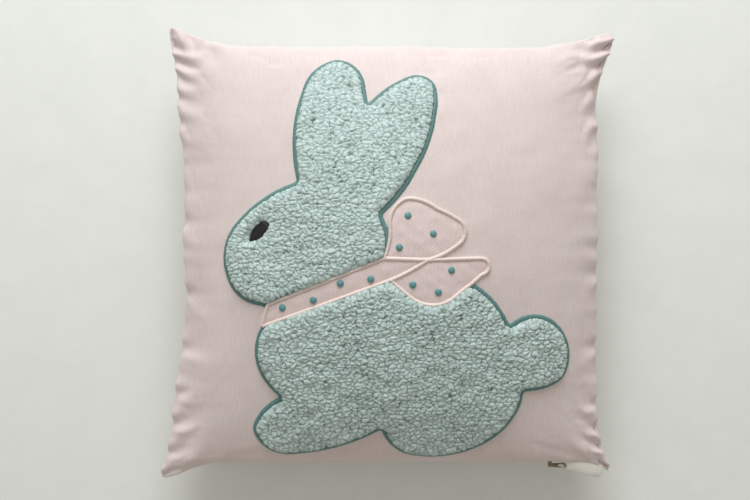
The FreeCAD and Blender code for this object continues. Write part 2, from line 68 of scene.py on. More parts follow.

# %% [markdown]
# ## The seam
# Two squares of cloth are sewn round their edges and turned. When the insert pushes them apart, the
# sides pull in and the corners stay out as points. A square with straight sides would look like a box,
# so each side is drawn as a line of points through which a smooth curve runs. A turned corner
# can't be quite sharp, so the four tips are cut back a little.

# %% The four sides, seen from above
LEFT_SIDE = [(-224.5, -223.5), (-222.5, -212), (-217, -198), (-211, -170), (-209, -144), (-203, -105),
             (-198.5, -66), (-196.5, -27), (-198, 12), (-198, 52), (-199.5, 90), (-204, 130),
             (-206.5, 169), (-211, 196), (-214.5, 211), (-217, 223)]
RIGHT_SIDE = [(218.5, -217), (216.5, -207), (211, -195), (205, -175), (202.5, -144), (201.5, -85),
              (202.5, -7), (203, 52), (204, 110), (203.5, 149), (207, 169), (213, 188),
              (219.5, 205), (222, 218)]
TOP_SIDE = [(-217, 223), (-205, 218), (-190, 212), (-172, 206), (-150, 202.5), (-111, 201),
            (-50, 200.5), (20, 200), (90, 199.5), (140, 200.5), (165, 203), (190, 208),
            (207, 213.5), (222, 218)]
BOTTOM_SIDE = [(-224.5, -223.5), (-206, -217), (-190, -210.5), (-172, -206), (-138, -204.6),
               (-100, -204), (-50, -203.2), (20, -203), (90, -203.3), (140, -203.5),
               (175, -203.8), (197, -205.6), (209, -210), (218.5, -217)]

TIP_CUT = 4.0
TIP_SHARPNESS = 34


def smooth_line(points, places):
    """Points at the given places, 0 to 1, along a smooth curve through the drawn ones."""
    drawn = np.array(points, float)
    along = np.r_[0, np.cumsum(np.hypot(*np.diff(drawn, axis=0).T))]
    slope = np.gradient(drawn, along, axis=0)
    at = np.asarray(places) * along[-1]
    i = np.clip(np.searchsorted(along, at, side="right") - 1, 0, len(along) - 2)
    span = (along[i + 1] - along[i])[:, None]
    q = (at[:, None] - along[i][:, None]) / span
    return ((2 * q**3 - 3 * q**2 + 1) * drawn[i] + (q**3 - 2 * q**2 + q) * span * slope[i]
            + (3 * q**2 - 2 * q**3) * drawn[i + 1] + (q**3 - q**2) * span * slope[i + 1])


def across(steps):
    """Steps from -1 to 1, closer together towards the seam, where the cloth turns most."""
    even = np.linspace(-1, 1, steps)
    return 0.55 * even + 0.45 * np.sin(np.pi * even / 2)


def plan(u, v):
    """Where the cloth lies, seen from above: the four sides carried smoothly to the middle."""
    s, t = (u + 1) / 2, (v + 1) / 2
    left, right = smooth_line(LEFT_SIDE, t), smooth_line(RIGHT_SIDE, t)
    bottom, top = smooth_line(BOTTOM_SIDE, s), smooth_line(TOP_SIDE, s)
    S, T = s[:, None, None], t[None, :, None]
    sides = (1 - S) * left[None] + S * right[None] + (1 - T) * bottom[:, None] + T * top[:, None]
    corners = ((1 - S) * (1 - T) * bottom[0] + S * (1 - T) * bottom[-1]
               + (1 - S) * T * top[0] + S * T * top[-1])
    grid = sides - corners
    tip = TIP_CUT * np.abs(u[:, None] * v[None, :]) ** TIP_SHARPNESS
    grid[..., 0] -= np.sign(u)[:, None] * tip
    grid[..., 1] -= np.sign(v)[None, :] * tip
    return grid


print("seam", np.ptp(np.array(LEFT_SIDE)[:, 1]), "mm high on the left")

# %% [markdown]
# ## The filled form
# The stuffing rounds each half into a crown. An ellipse alone would be too blunt at the seam and a
# parabola too thin, so the profile is half of each. A little way in, the cloth also swells out past
# its own seam, so that the seam sits in a crease, and the front stands a little above the seam all
# round. The back is pressed flat where it lies.

# %% Crown, crease and resting patch
SEAM_HEIGHT = 56.0
FRONT_RISE = 62.0
BACK_DROP = 74.0
ZIP_HALF = 165.0
BULGE_FRONT = 4.2
BULGE_BACK = 3.0
BULGE_INSIDE = 0.6
PUFF = 2.0
PUFF_REACH = 0.014
REST_SOFTNESS = 9.0
REST_SINK = 0.1


def swell(u):
    rest = np.clip(1 - u * u, 0, 1)
    return 0.5 * np.sqrt(rest) + 0.5 * rest


def lip(u, v, bulge):
    """How far the cloth swells out past the seam on one pair of sides."""
    inside = 1 - np.abs(u)
    out = (1 - np.exp(-inside / 0.010)) * np.exp(-inside / 0.06)
    return np.sign(u) * bulge * out * swell(v) ** 0.7


def slit(x, v):
    """The zipped seam's two edges stand a little apart, so that the slider can pass."""
    zipped = 1 / (1 + np.exp((np.abs(x) - ZIP_HALF) / 1.5))
    return 0.8 * zipped * np.exp(-(1 + v) / 0.012)


def seam_wave(u, v):
    """The seam rises and falls a little, except where the zip and the label are."""
    free = np.clip((v + 1) * 1.2, 0, 1)
    edge = np.maximum(np.abs(u), np.abs(v)) ** 6
    sides = 1.6 * np.sin(5.1 * v + 1.0) * np.abs(u)
    ends = 1.3 * np.sin(6.3 * u + 2.0) * np.abs(v)
    return free * edge * (sides + ends)


def form(steps, side, inset=0.0, tip_inset=0.0):
    """One half of the filled form as a (steps, steps, 3) grid, `inset` mm inside the cover."""
    line = across(steps)
    grid = np.zeros((steps, steps, 3))
    grid[..., :2] = plan(line, line) * (1 - inset / 208)
    u, v = np.meshgrid(line, line, indexing="ij")
    grid[..., 0] -= tip_inset * u**5 * v**20
    grid[..., 1] -= tip_inset * v**5 * u**20
    bulge = (BULGE_FRONT if side > 0 else BULGE_BACK) * (1 if inset == 0 else BULGE_INSIDE)
    grid[..., 0] += lip(u, v, bulge)
    grid[..., 1] += lip(v, u, bulge)
    lift = swell(u) * swell(v)
    inside = np.minimum(1 - np.abs(u), 1 - np.abs(v))
    puff = (PUFF if inset == 0 else 0.0) * (1 - np.exp(-inside / PUFF_REACH))
    if side > 0:
        z = SEAM_HEIGHT + puff + (FRONT_RISE - inset) * lift
    else:
        z = SEAM_HEIGHT - (BACK_DROP - inset) * lift
        z = inset + 0.5 * (z - inset + np.sqrt((z - inset) ** 2 + REST_SOFTNESS)) - REST_SINK
    z = z + seam_wave(u, v) * (1 - 0.5 * lift)
    if inset == 0:
        z = z + side * slit(grid[..., 0], v)
    grid[..., 2] = z
    return grid, u, v


front_form, U, V = form(241, 1)
back_form, _, _ = form(241, -1)
print("front crown %.1f mm, back %.1f mm" % (front_form[..., 2].max(), back_form[..., 2].min()))

# %% [markdown]
# ## Folds and gathers
# Cloth that is too long for the pulled-in seam gathers beside it, and the corners, which the insert
# doesn't fill, crease towards their tips. The big creases are listed one line each, because
# they give the cushion its character. Small gathers and the unevenness of the stuffing are seeded
# waves. All of them move the cloth along its own normal, so the outline wrinkles too.

# %% Creases, one line each: start, end, half width and depth
CREASES = [
    # near the ear's corner, at the upper left
    (-216, 219, -196, 200, 3.5, -3.2), (-214, 206, -190, 192, 4.5, -3.4), (-209, 189, -176, 178, 5.0, -2.6),
    (-207, 175, -178, 160, 5.0, -1.8), (-206, 151, -172, 148, 6.0, -1.5), (-196, 214, -168, 186, 6.0, -2.0),
    (-180, 208, -160, 182, 6.0, -1.4), (-205, 128, -176, 118, 6.0, -1.1),
    # upper right
    (223, 204, 178, 196, 4.2, -4.2), (215, 190, 191, 176, 5.2, -3.9), (208, 171, 188, 148, 5.5, -3.2),
    (206, 152, 190, 122, 6.5, -2.4), (200, 212, 160, 192, 6.0, -1.4), (204, 118, 186, 92, 7.0, -1.4),
    (186, 184, 150, 168, 8.0, -1.4),
    # lower left
    (-221, -219, -198, -196, 4.0, -3.0), (-212, -196, -184, -168, 6.5, -2.0), (-209, -168, -178, -140, 7.0, -1.7),
    (-206, -136, -172, -116, 7.5, -1.4), (-206, -214, -168, -196, 5.0, -2.4), (-190, -209, -130, -196, 6.0, -1.8),
    (-200, -92, -170, -80, 8.0, -1.2), (-197, -40, -170, -34, 9.0, -1.0), (-198, 30, -172, 26, 9.0, -0.9),
    # lower right
    (217, -214, 194, -192, 4.0, -3.4), (209, -190, 182, -168, 5.0, -2.6), (206, -172, 178, -150, 6.0, -2.2),
    (202, -148, 178, -130, 7.0, -1.6), (196, -206, 168, -186, 5.0, -2.0), (202, -90, 178, -84, 8.0, -1.1),
    (203, -20, 180, -16, 9.0, -0.8), (203, 60, 182, 54, 9.0, -0.8),
]

CREASE_STRENGTH = 1.6


def creases(x, y):
    """Height of the creases at plan points: a valley with a softer ridge on each side."""
    height = np.zeros_like(x)
    for x0, y0, x1, y1, half, depth in CREASES:
        dx, dy = x1 - x0, y1 - y0
        length = math.hypot(dx, dy)
        t = ((x - x0) * dx + (y - y0) * dy) / length**2
        bend = 0.10 * length * np.sin(np.pi * np.clip(t, 0, 1))
        d = ((x - x0) * -dy + (y - y0) * dx) / length - bend * (1 if depth * dx > 0 else -1)
        d = d / (half * (0.75 + 0.7 * np.clip(t, 0, 1)))
        fade = np.clip((t + 0.15) / 0.2, 0, 1) * np.clip(1.1 - t, 0, 1) ** 1.2
        valley = np.exp(-d * d)
        ridge = 0.55 * np.exp(-((np.abs(d) - 1.7) ** 2) / 0.8)
        height += CREASE_STRENGTH * depth * fade * (valley - ridge)
    return height


def waves(x, y, seed, size, count=14):
    """Smooth seeded unevenness of about `size` millimetres, from -1 to 1."""
    draw = np.random.default_rng(seed)
    total = np.zeros_like(x)
    for _ in range(count):
        angle, turn = draw.uniform(0, 2 * np.pi, 2)
        pace = 2 * np.pi / (size * draw.uniform(0.7, 1.5))
        total += np.sin(pace * (x * np.cos(angle) + y * np.sin(angle)) + turn)
    return total / math.sqrt(count)


def gathers(u, v, x, y, seed):
    """Small puckers that run in from the seam and fade."""
    inside_u, inside_v = (1 - np.abs(u)) * 205, (1 - np.abs(v)) * 205
    along_v = waves(y * 1.0, np.sign(u) * 40 + 0 * y, seed, 17)
    along_u = waves(x * 1.0, np.sign(v) * 40 + 0 * x, seed + 1, 17)
    return 0.85 * along_v * np.exp(-inside_u / 16) + 0.6 * along_u * np.exp(-inside_v / 14)


def normals(grid, side):
    du, dv = np.gradient(grid, axis=0), np.gradient(grid, axis=1)
    n = np.cross(du, dv) * side
    return n / (np.linalg.norm(n, axis=2, keepdims=True) + 1e-9)


def ruffle(grid, u, v, side, strength=1.0):
    """The form with its creases, gathers and unevenness, moved along its normals."""
    x, y = grid[..., 0], grid[..., 1]
    move = creases(x, y) * (1 if side > 0 else 0.7) + gathers(u, v, x, y, 11 + side)
    move += 0.55 * waves(x, y, 21 + side, 95) + 0.22 * waves(x, y, 31 + side, 34)
    inside = np.minimum(1 - np.abs(u), 1 - np.abs(v))
    move *= strength * np.clip(inside / 0.008, 0, 1)
    zipped = (v < 0) * np.exp(-(1 + v) / 0.05) * (x < ZIP_HALF + 40)
    move *= 1 - 0.8 * zipped
    if side < 0:
        move *= np.clip(grid[..., 2] / 30, 0, 1)
    return grid + normals(grid, side) * move[..., None]


print(len(CREASES), "creases")

# %% [markdown]
# ## Letting the cloth settle
# Blender's Cloth lets the two squares find their own small dents under the pressure of the stuffing.
# It runs on a coarse copy, its seam pinned, and only for a few frames: the shape is right already, so
# the cloth has little to do. No point may move more than a few millimetres, and the fine cloth takes
# the coarse one's movement.

# %% A coarse cover under pressure
SETTLE_STEPS = 65
SETTLE_FRAMES = 14
SETTLE_CAP = 4.0


def quads(steps, side, first=0):
    """Faces of a square grid whose points run along V first."""
    ids = np.arange(steps * steps).reshape(steps, steps) + first
    faces = np.stack([ids[:-1, :-1], ids[1:, :-1], ids[1:, 1:], ids[:-1, 1:]], axis=-1).reshape(-1, 4)
    return faces if side > 0 else faces[:, ::-1]


def settled():
    """How far each point of the coarse front and back moves while the cloth settles."""
    steps = SETTLE_STEPS
    halves = []
    for side in (1, -1):
        grid, u, v = form(steps, side)
        halves.append(ruffle(grid, u, v, side, 0.8))
    inner = np.zeros((steps, steps), bool)
    inner[1:-1, 1:-1] = True
    points = np.vstack([halves[0].reshape(-1, 3), halves[1][inner]])
    back_ids = np.arange(steps * steps).reshape(steps, steps)
    back_ids[inner] = steps * steps + np.arange(inner.sum())
    back_faces = back_ids.reshape(-1)[quads(steps, -1)]
    shell = bpy.data.meshes.new("settling")
    shell.from_pydata((points * MM).tolist(), [], np.vstack([quads(steps, 1), back_faces]).tolist())
    cover = bpy.data.objects.new("settling", shell)
    bpy.context.scene.collection.objects.link(cover)
    seam = np.arange(steps * steps).reshape(steps, steps)[~inner]
    pinned = cover.vertex_groups.new(name="seam")
    pinned.add(seam.tolist(), 1.0, "REPLACE")
    cloth = cover.modifiers.new("Cloth", "CLOTH")
    cloth.settings.quality = 6
    cloth.settings.mass = 0.01
    cloth.settings.tension_stiffness = 60
    cloth.settings.compression_stiffness = 60
    cloth.settings.shear_stiffness = 15
    cloth.settings.bending_stiffness = 0.05
    cloth.settings.vertex_group_mass = "seam"
    cloth.settings.use_pressure = True
    cloth.settings.uniform_pressure_force = 4
    cloth.settings.effector_weights.gravity = 0
    cloth.point_cache.frame_start = 1
    cloth.point_cache.frame_end = SETTLE_FRAMES
    for step in range(1, SETTLE_FRAMES + 1):
        bpy.context.scene.frame_set(step)
    result = cover.evaluated_get(bpy.context.evaluated_depsgraph_get())
    moved = np.zeros(len(points) * 3)
    result.data.vertices.foreach_get("co", moved)
    moved = moved.reshape(-1, 3) / MM - points
    bpy.context.scene.frame_set(1)
    bpy.data.objects.remove(cover)
    length = np.linalg.norm(moved, axis=1, keepdims=True)
    moved *= np.minimum(1, SETTLE_CAP / (length + 1e-9))
    front = moved[:steps * steps].reshape(steps, steps, 3)
    back = np.zeros((steps, steps, 3))
    back[inner] = moved[steps * steps:]
    print("settled: front moves up to %.2f mm, back %.2f mm" % (np.abs(front).max(), np.abs(back).max()))
    return front, back


def finer(coarse, steps):
    """The coarse grid's movement, spread over a finer one."""
    places = np.interp(across(steps), across(len(coarse)), np.arange(len(coarse)))
    low = np.clip(places.astype(int), 0, len(coarse) - 2)
    part = places - low
    part = part * part * (3 - 2 * part)
    rows = coarse[low] * (1 - part)[:, None, None] + coarse[low + 1] * part[:, None, None]
    return rows[:, low] * (1 - part)[None, :, None] + rows[:, low + 1] * part[None, :, None]


moves = settled()

# %% [markdown]
# ## Meshes from grids
# Each piece becomes a mesh whose points are worked out first and handed to Blender in one go, which is
# quicker and easier to change than modelling by hand. The flat cut's coordinates are kept as a UV map,
# in metres, so that the weave runs with the cloth and not with the floor.

# %% A mesh piece from points and faces


def piece(name, points, faces, body="root", stands_for=(), smooth=True):
    """A shown piece, given its points in millimetres, riding on a body."""
    mesh = bpy.data.meshes.new(name)
    mesh.from_pydata((np.asarray(points) * MM).tolist(), [], [list(map(int, face)) for face in faces])
    mesh.polygons.foreach_set("use_smooth", [smooth] * len(mesh.polygons))
    mesh.update()
    made = bpy.data.objects.new(name, mesh)
    bpy.context.scene.collection.objects.link(made)
    if body:
        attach(made, body)
    if stands_for:
        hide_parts(*stands_for)
    return made


def lay_out(made, flat):
    """Stores each point's place on the flat cloth, in millimetres, as the UV map `cut`."""
    layer = made.data.uv_layers.new(name="cut")
    corners = np.zeros(len(made.data.loops), np.int32)
    made.data.loops.foreach_get("vertex_index", corners)
    layer.data.foreach_set("uv", (np.asarray(flat) * MM)[corners].ravel())


def store(made, name, values):
    """A number per point that a material can read."""
    layer = made.data.attributes.new(name, "FLOAT", "POINT")
    layer.data.foreach_set("value", np.asarray(values, np.float32).ravel())


PULL_LINE = -205.1


def clear_of_pull(grid):
    """Over the zip's length the cover stays behind the line that the pull runs along."""
    beyond = grid[..., 1] - PULL_LINE
    near = 1 / (1 + np.exp((np.abs(grid[..., 0]) - ZIP_HALF - 8) / 2))
    grid[..., 1] += near * (0.5 * (np.sqrt(beyond ** 2 + 0.2) - beyond))
    return grid


def cover_grid(side):
    """The finished grid of one panel."""
    grid, u, v = form(241, side)
    grid = ruffle(grid, u, v, side)
    grid = grid + finer(moves[0 if side > 0 else 1], 241)
    grid[..., 2] = np.maximum(grid[..., 2], 0.0)
    return clear_of_pull(grid)


flat_cut = np.stack([U * 225, V * 225], axis=-1).reshape(-1, 2)
panels = {}
for label, side in (("front_panel", 1), ("back_panel", -1)):
    grid = cover_grid(side)
    panels[label] = piece(label + "_cloth", grid.reshape(-1, 3), quads(241, side),
                          stands_for=[label])
    lay_out(panels[label], flat_cut)
    if side > 0:
        front_grid = grid
    low, high = grid.reshape(-1, 3).min(0), grid.reshape(-1, 3).max(0)
    print(label, "from", low.round(1), "to", high.round(1))

# %% [markdown]
# ## Laying pieces on the cushion
# The applique follows the crown. Instead of pressing each piece on with a modifier, the height of the
# finished front is read once on a fine grid, and every stitched piece then takes its height from that.

# %% The height of the front, read from above
HEIGHT_STEP = 1.5
HEIGHT_REACH = 201.0
front_tree = BVHTree.FromPolygons(front_grid.reshape(-1, 3).tolist(), quads(241, 1).tolist())
ticks = np.arange(-HEIGHT_REACH, HEIGHT_REACH + 1, HEIGHT_STEP)
height_map = np.full((len(ticks), len(ticks)), SEAM_HEIGHT)
for i, x in enumerate(ticks):
    for j, y in enumerate(ticks):
        hit = front_tree.ray_cast(Vector((x, y, 300)), Vector((0, 0, -1)))[0]
        if hit is not None:
            height_map[i, j] = hit.z


def lie(x, y):
    """The height of the front under plan points."""
    fx = np.clip((x + HEIGHT_REACH) / HEIGHT_STEP, 0, len(ticks) - 1.001)
    fy = np.clip((y + HEIGHT_REACH) / HEIGHT_STEP, 0, len(ticks) - 1.001)
    i, j = fx.astype(int), fy.astype(int)
    s, t = fx - i, fy - j
    return ((height_map[i, j] * (1 - s) + height_map[i + 1, j] * s) * (1 - t)
            + (height_map[i, j + 1] * (1 - s) + height_map[i + 1, j + 1] * s) * t)


def lean(x, y):
    """The front's normal under plan points."""
    sx = (lie(x + 2, y) - lie(x - 2, y)) / 4
    sy = (lie(x, y + 2) - lie(x, y - 2)) / 4
    n = np.stack([-sx, -sy, np.ones_like(sx)], axis=-1)
    return n / np.linalg.norm(n, axis=-1, keepdims=True)


print("front under the eye %.1f mm" % lie(np.array([-120.0]), np.array([20.0]))[0])

# %% [markdown]
# ## Pattern outlines
# The outlines are the ones that the pattern pieces were cut to: a start point, then straight runs and
# arcs. Each is walked in small even steps and its corners are eased, because stitching rounds them.

# %% Outlines of the rabbit and its ribbon
HEAD = [(-110, -56), [(-118, -49)], [(-140, -41.5), (-153, -22)], [(-155.5, 4), (-142, 30)],
        [(-119, 50), (-85, 66)], [(-90, 108), (-81.5, 154)], [(-70, 175), (-49, 185)],
        [(-33, 178), (-23, 158)], [(-20, 139)], [(0, 157), (17, 166.5)], [(32, 168), (43, 160)],
        [(45.6, 146), (44, 131)], [(36, 99), (25, 76.5)], [(8, 50.5), (-7.5, 35)], [(-0.5, 16), (-4, -10)]]
BODY = [(-112, -62), [(-120, -70)], [(-126, -93), (-118, -119)], [(-111, -128), (-102, -136)],
        [(-120, -149), (-130, -167)], [(-119, -186), (-96, -194)], [(-50, -186), (-7, -167)],
        [(5, -186), (25.5, -195)], [(54, -195.5), (83, -187)], [(112, -166), (126, -141)],
        [(127, -131)], [(143, -130), (156, -126)], [(166, -119), (171, -109)], [(171, -87), (157, -65.5)],
        [(135, -58), (112, -68)], [(99.5, -47), (79, -29)], [(42, -22)], [(0, -16)]]
LOOP = [(-5, -5), [(-0.5, 8), (0.3, 28)], [(4.5, 41), (16, 50)], [(30, 48), (43, 41)],
        [(55, 35.5), (66, 29)], [(70, 18), (62.5, 7)], [(50, -1), (35, -6.5)]]
TAIL = [(1, -25), [(19, -16.5), (35, -6.5)], [(86, -5)], [(92, -10), (85, -20)], [(75, -29), (64, -37)],
        [(43, -48), (21, -42)], [(10, -33), (1, -25)]]
BAND = [(-113, -48), [(-5, -5)], [(35, -6.5)], [(19, -16.5), (1, -25)], [(-119, -69)]]
EYE = [(-130.7, 9.5), [(-127.5, 21), (-120, 28.5)], [(-113, 29), (-111, 22)], [(-118.5, 12.8)]]
DOTS = [(17, 34), (40, 17.5), (9, 5), (57, -16), (21.5, -29), (45, -36),
        (-99, -51), (-70, -43.5), (-45, -28), (-17, -24)]


def arc(a, b, c, count):
    """Points on the circle from a through b to c, without a."""
    ax, ay, bx, by, cx, cy = *a, *b, *c
    d = 2 * (ax * (by - cy) + bx * (cy - ay) + cx * (ay - by))
    if abs(d) < 1e-6:
        return [(ax + (cx - ax) * k / count, ay + (cy - ay) * k / count) for k in range(1, count + 1)]
    qa, qb, qc = ax * ax + ay * ay, bx * bx + by * by, cx * cx + cy * cy
    ox = (qa * (by - cy) + qb * (cy - ay) + qc * (ay - by)) / d
    oy = (qa * (cx - bx) + qb * (ax - cx) + qc * (bx - ax)) / d
    r = math.hypot(ax - ox, ay - oy)
    start, middle, end = (math.atan2(py - oy, px - ox) for px, py in (a, b, c))
    sweep = (end - start) % (2 * math.pi)
    if (middle - start) % (2 * math.pi) > sweep:
        sweep -= 2 * math.pi
    return [(ox + r * math.cos(start + sweep * k / count), oy + r * math.sin(start + sweep * k / count))
            for k in range(1, count + 1)]


def even(points, step):
    """A closed line walked in even steps."""
    closed = np.vstack([points, points[:1]])
    along = np.r_[0, np.cumsum(np.hypot(*np.diff(closed, axis=0).T))]
    count = max(8, int(round(along[-1] / step)))
    at = np.linspace(0, along[-1], count, endpoint=False)
    return np.stack([np.interp(at, along, closed[:, k]) for k in range(2)], axis=1)


def outline(pattern, step, ease):
    """The pattern's outline in even steps, its corners eased over about `ease` mm."""
    points = [pattern[0]]
    for stretch in pattern[1:]:
        if len(stretch) == 1:
            midway = tuple((p + q) / 2 for p, q in zip(points[-1], stretch[0]))
            points += arc(points[-1], midway, stretch[0], 8)
        else:
            points += arc(points[-1], stretch[0], stretch[1], 16)
    fine = even(np.array(points, float), 0.5)
    if np.sum(fine[:, 0] * np.roll(fine[:, 1], -1) - fine[:, 1] * np.roll(fine[:, 0], -1)) < 0:
        fine = fine[::-1]
    reach = int(3 * ease / 0.5)
    weights = np.exp(-0.5 * (np.arange(-reach, reach + 1) * 0.5 / ease) ** 2)
    weights /= weights.sum()
    wrapped = np.vstack([fine[-reach:], fine, fine[:reach]])
    eased = np.stack([np.convolve(wrapped[:, k], weights, "valid") for k in range(2)], axis=1)
    return even(eased, step)


def edge_distance(points, line):
    """Distance to a closed outline, positive inside, and the way towards it."""
    a, b = line, np.roll(line, -1, axis=0)
    d = b - a
    squares = (d * d).sum(1)
    best = np.full(len(points), 1e9)
    way = np.zeros((len(points), 2))
    inside = np.zeros(len(points), bool)
    for start in range(0, len(points), 20000):
        p = points[start:start + 20000]
        rel = p[:, None] - a[None]
        t = np.clip((rel * d[None]).sum(2) / squares, 0, 1)
        gap = rel - t[..., None] * d[None]
        far = (gap * gap).sum(2)
        near = far.argmin(1)
        rows = np.arange(len(p))
        best[start:start + 20000] = np.sqrt(far[rows, near])
        way[start:start + 20000] = -gap[rows, near]
        spans = (a[None, :, 1] > p[:, None, 1]) != (b[None, :, 1] > p[:, None, 1])
        cross = a[None, :, 0] + rel[..., 1] / np.where(d[:, 1] == 0, 1e-9, d[:, 1])[None] * d[None, :, 0]
        inside[start:start + 20000] = (spans & (p[:, None, 0] < cross)).sum(1) % 2 == 1
    sign = np.where(inside, 1.0, -1.0)
    way = way / (best[:, None] + 1e-9) * sign[:, None]
    return best * sign, way


head_line, body_line = outline(HEAD, 2.0, 2.2), outline(BODY, 2.0, 2.2)
ribbon_lines = {"neck_band": outline(BAND, 2.0, 1.2), "bow_loop": outline(LOOP, 2.0, 1.8),
                "bow_tail": outline(TAIL, 2.0, 1.8)}
eye_line = outline(EYE, 1.0, 1.2)
print("head outline %d points, body %d" % (len(head_line), len(body_line)))

# %% [markdown]
# ## Patches
# A patch is a net of small squares cut to an outline: squares that reach outside are dropped, and the
# rim is pulled onto the line. A triangulated cut would be quicker, but its long thin triangles could
# not carry the pile.

# %% Cutting a net to its outline


def patch(keep, pitch, low, high):
    """A net of squares where keep(points) is positive; returns points, faces, depth and way out."""
    xs, ys = np.arange(low[0], high[0], pitch), np.arange(low[1], high[1], pitch)
    X, Y = np.meshgrid(xs, ys, indexing="ij")
    points = np.stack([X, Y], axis=-1).reshape(-1, 2)
    depth, way = keep(points)
    wanted = (depth > -0.5 * pitch).reshape(X.shape)
    full = wanted[:-1, :-1] & wanted[1:, :-1] & wanted[1:, 1:] & wanted[:-1, 1:]
    ids = np.arange(len(points)).reshape(X.shape)
    faces = np.stack([ids[:-1, :-1], ids[1:, :-1], ids[1:, 1:], ids[:-1, 1:]], axis=-1)[full]
    count = np.zeros(len(points), int)
    np.add.at(count, faces.ravel(), 1)
    rim = (count > 0) & (count < 4)
    points[rim] += way[rim] * depth[rim, None]
    depth[rim] = 0
    used = np.flatnonzero(count)
    back = np.zeros(len(points), int)
    back[used] = np.arange(len(used))
    return points[used], back[faces], np.maximum(depth[used], 0), way[used]


def within(lines, insets):
    """Inside the first outline and outside the others, each moved by its inset."""
    def keep(points):
        depth, way = edge_distance(points, lines[0])
        depth = depth - insets[0]
        for line, inset in zip(lines[1:], insets[1:]):
            d, w = edge_distance(points, line)
            d, w = -d - inset, -w
            nearer = d < depth
            depth = np.where(nearer, d, depth)
            way = np.where(nearer[:, None], w, way)
        return depth, way
    return keep


# %% [markdown]
# ## Fleece
# Sheepskin fleece is a pile of small curls packed against each other, with dark gaps between them. A
# bump map would vanish at the rim, where the fleece shows most, so the curls are real: each is a dome
# round a seeded point, wider than it is high, and the gaps are where two domes are equally near. Hair
# particles would be truer still, but they cannot be carried into the part's files.

# %% Curls


def curls(x, y, spacing, seed, warp):
    """Domes and the gaps between them, 0 to 1, from seeded points on an uneven grid."""
    draw = np.random.default_rng(seed)
    side = 256
    jitter = draw.uniform(0.06, 0.94, (side, side, 2))
    lift = draw.uniform(0.55, 1.0, (side, side))
    x = x + warp * waves(x, y, seed + 5, 9) + 0.5 * warp * waves(x, y, seed + 6, 4)
    y = y + warp * waves(x, y, seed + 7, 9) + 0.5 * warp * waves(x, y, seed + 8, 4)
    gx, gy = x / spacing[0], y / spacing[1]
    i, j = np.floor(gx).astype(int), np.floor(gy).astype(int)
    first = np.full(x.shape, 9.0)
    second = np.full(x.shape, 9.0)
    tall = np.zeros(x.shape)
    for di in (-1, 0, 1):
        for dj in (-1, 0, 1):
            a, b = (i + di) % side, (j + dj) % side
            far = np.hypot(gx - (i + di + jitter[a, b, 0]), gy - (j + dj + jitter[a, b, 1]))
            nearest = far < first
            second = np.where(nearest, first, np.minimum(second, far))
            tall = np.where(nearest, lift[a, b], tall)
            first = np.where(nearest, far, first)
    dome = np.sqrt(np.clip(1 - (first / 0.85) ** 2, 0, 1))
    gap = np.clip((second - first) / 0.38, 0, 1)
    return dome * tall * 0.55 + 0.45 * gap ** 0.7, gap


FLEECE_LOFT = 3.9
FLEECE_RIM = 4.2
CURL_HEIGHT = 3.4
NET = 0.72


def fleece(name, keep, low, high, seed, node):
    points, faces, depth, way = patch(keep, NET, low, high)
    x, y = points[:, 0], points[:, 1]
    coarse, gap = curls(x, y, (5.0, 3.4), seed, 1.0)
    small, _ = curls(x, y, (2.0, 1.7), seed + 50, 0.5)
    pile = CURL_HEIGHT * (0.78 * coarse + 0.22 * small) + 0.45 * waves(x, y, seed + 90, 22)
    t = np.clip(depth / FLEECE_RIM, 0, 1)
    round_off = np.sqrt(np.clip(1 - (1 - t) ** 2, 0, 1))
    out = (1.6 * np.sin(np.pi * t ** 0.75) * (1 - 0.35 * t) + pile * 0.5 * np.cos(np.pi / 2 * t) * (t > 0))
    height = FLEECE_LOFT * round_off + pile * (0.15 + 0.85 * t) * (t > 0) - 0.4
    nearby = depth < 8
    out = np.where(nearby, out, 0)
    place = np.column_stack([x + way[:, 0] * out, y + way[:, 1] * out, lie(x, y)])
    place += lean(x, y) * height[:, None]
    made = piece(name, place, faces, stands_for=[node])
    # This value is low in the gaps, high on the curls' tops and lower towards the rim; the material turns it into
    # painted shade in the gaps and at the rim and a painted highlight on the tops.
    store(made, "pile", np.clip(0.05 + 0.62 * coarse + 0.38 * small * gap, 0, 1) * (0.7 + 0.3 * t))
    print(name, len(faces), "squares, up to %.1f mm" % place[:, 2].max())
    return made


ribbon_clear = 2.0
fleece_inset = 5.0
head_keep = within([head_line, eye_line, *ribbon_lines.values()],
                   [fleece_inset, 0.9, ribbon_clear, ribbon_clear, ribbon_clear])
body_keep = within([body_line, *ribbon_lines.values()], [fleece_inset] + [ribbon_clear] * 3)
fleece("head_fleece", head_keep, (-158, -58), (50, 188), 301, "head_applique")
fleece("body_fleece", body_keep, (-134, -200), (175, -10), 401, "body_applique")

# %% [markdown]
# ## Satin stitch and cord
# The machine lays thread back and forth across the edge, each stitch beside the last. The strip is
# built stitch by stitch: a low arch swept along the outline with one ridge for each thread. The
# ribbon's corded edge is the same with a higher arch and slanting stitches.

# %% A stitched strip along a line


def offset_line(line, inwards):
    """A closed anticlockwise line moved inwards."""
    ahead = np.roll(line, -1, axis=0) - np.roll(line, 1, axis=0)
    ahead /= np.linalg.norm(ahead, axis=1, keepdims=True)
    return line + np.column_stack([-ahead[:, 1], ahead[:, 0]]) * inwards


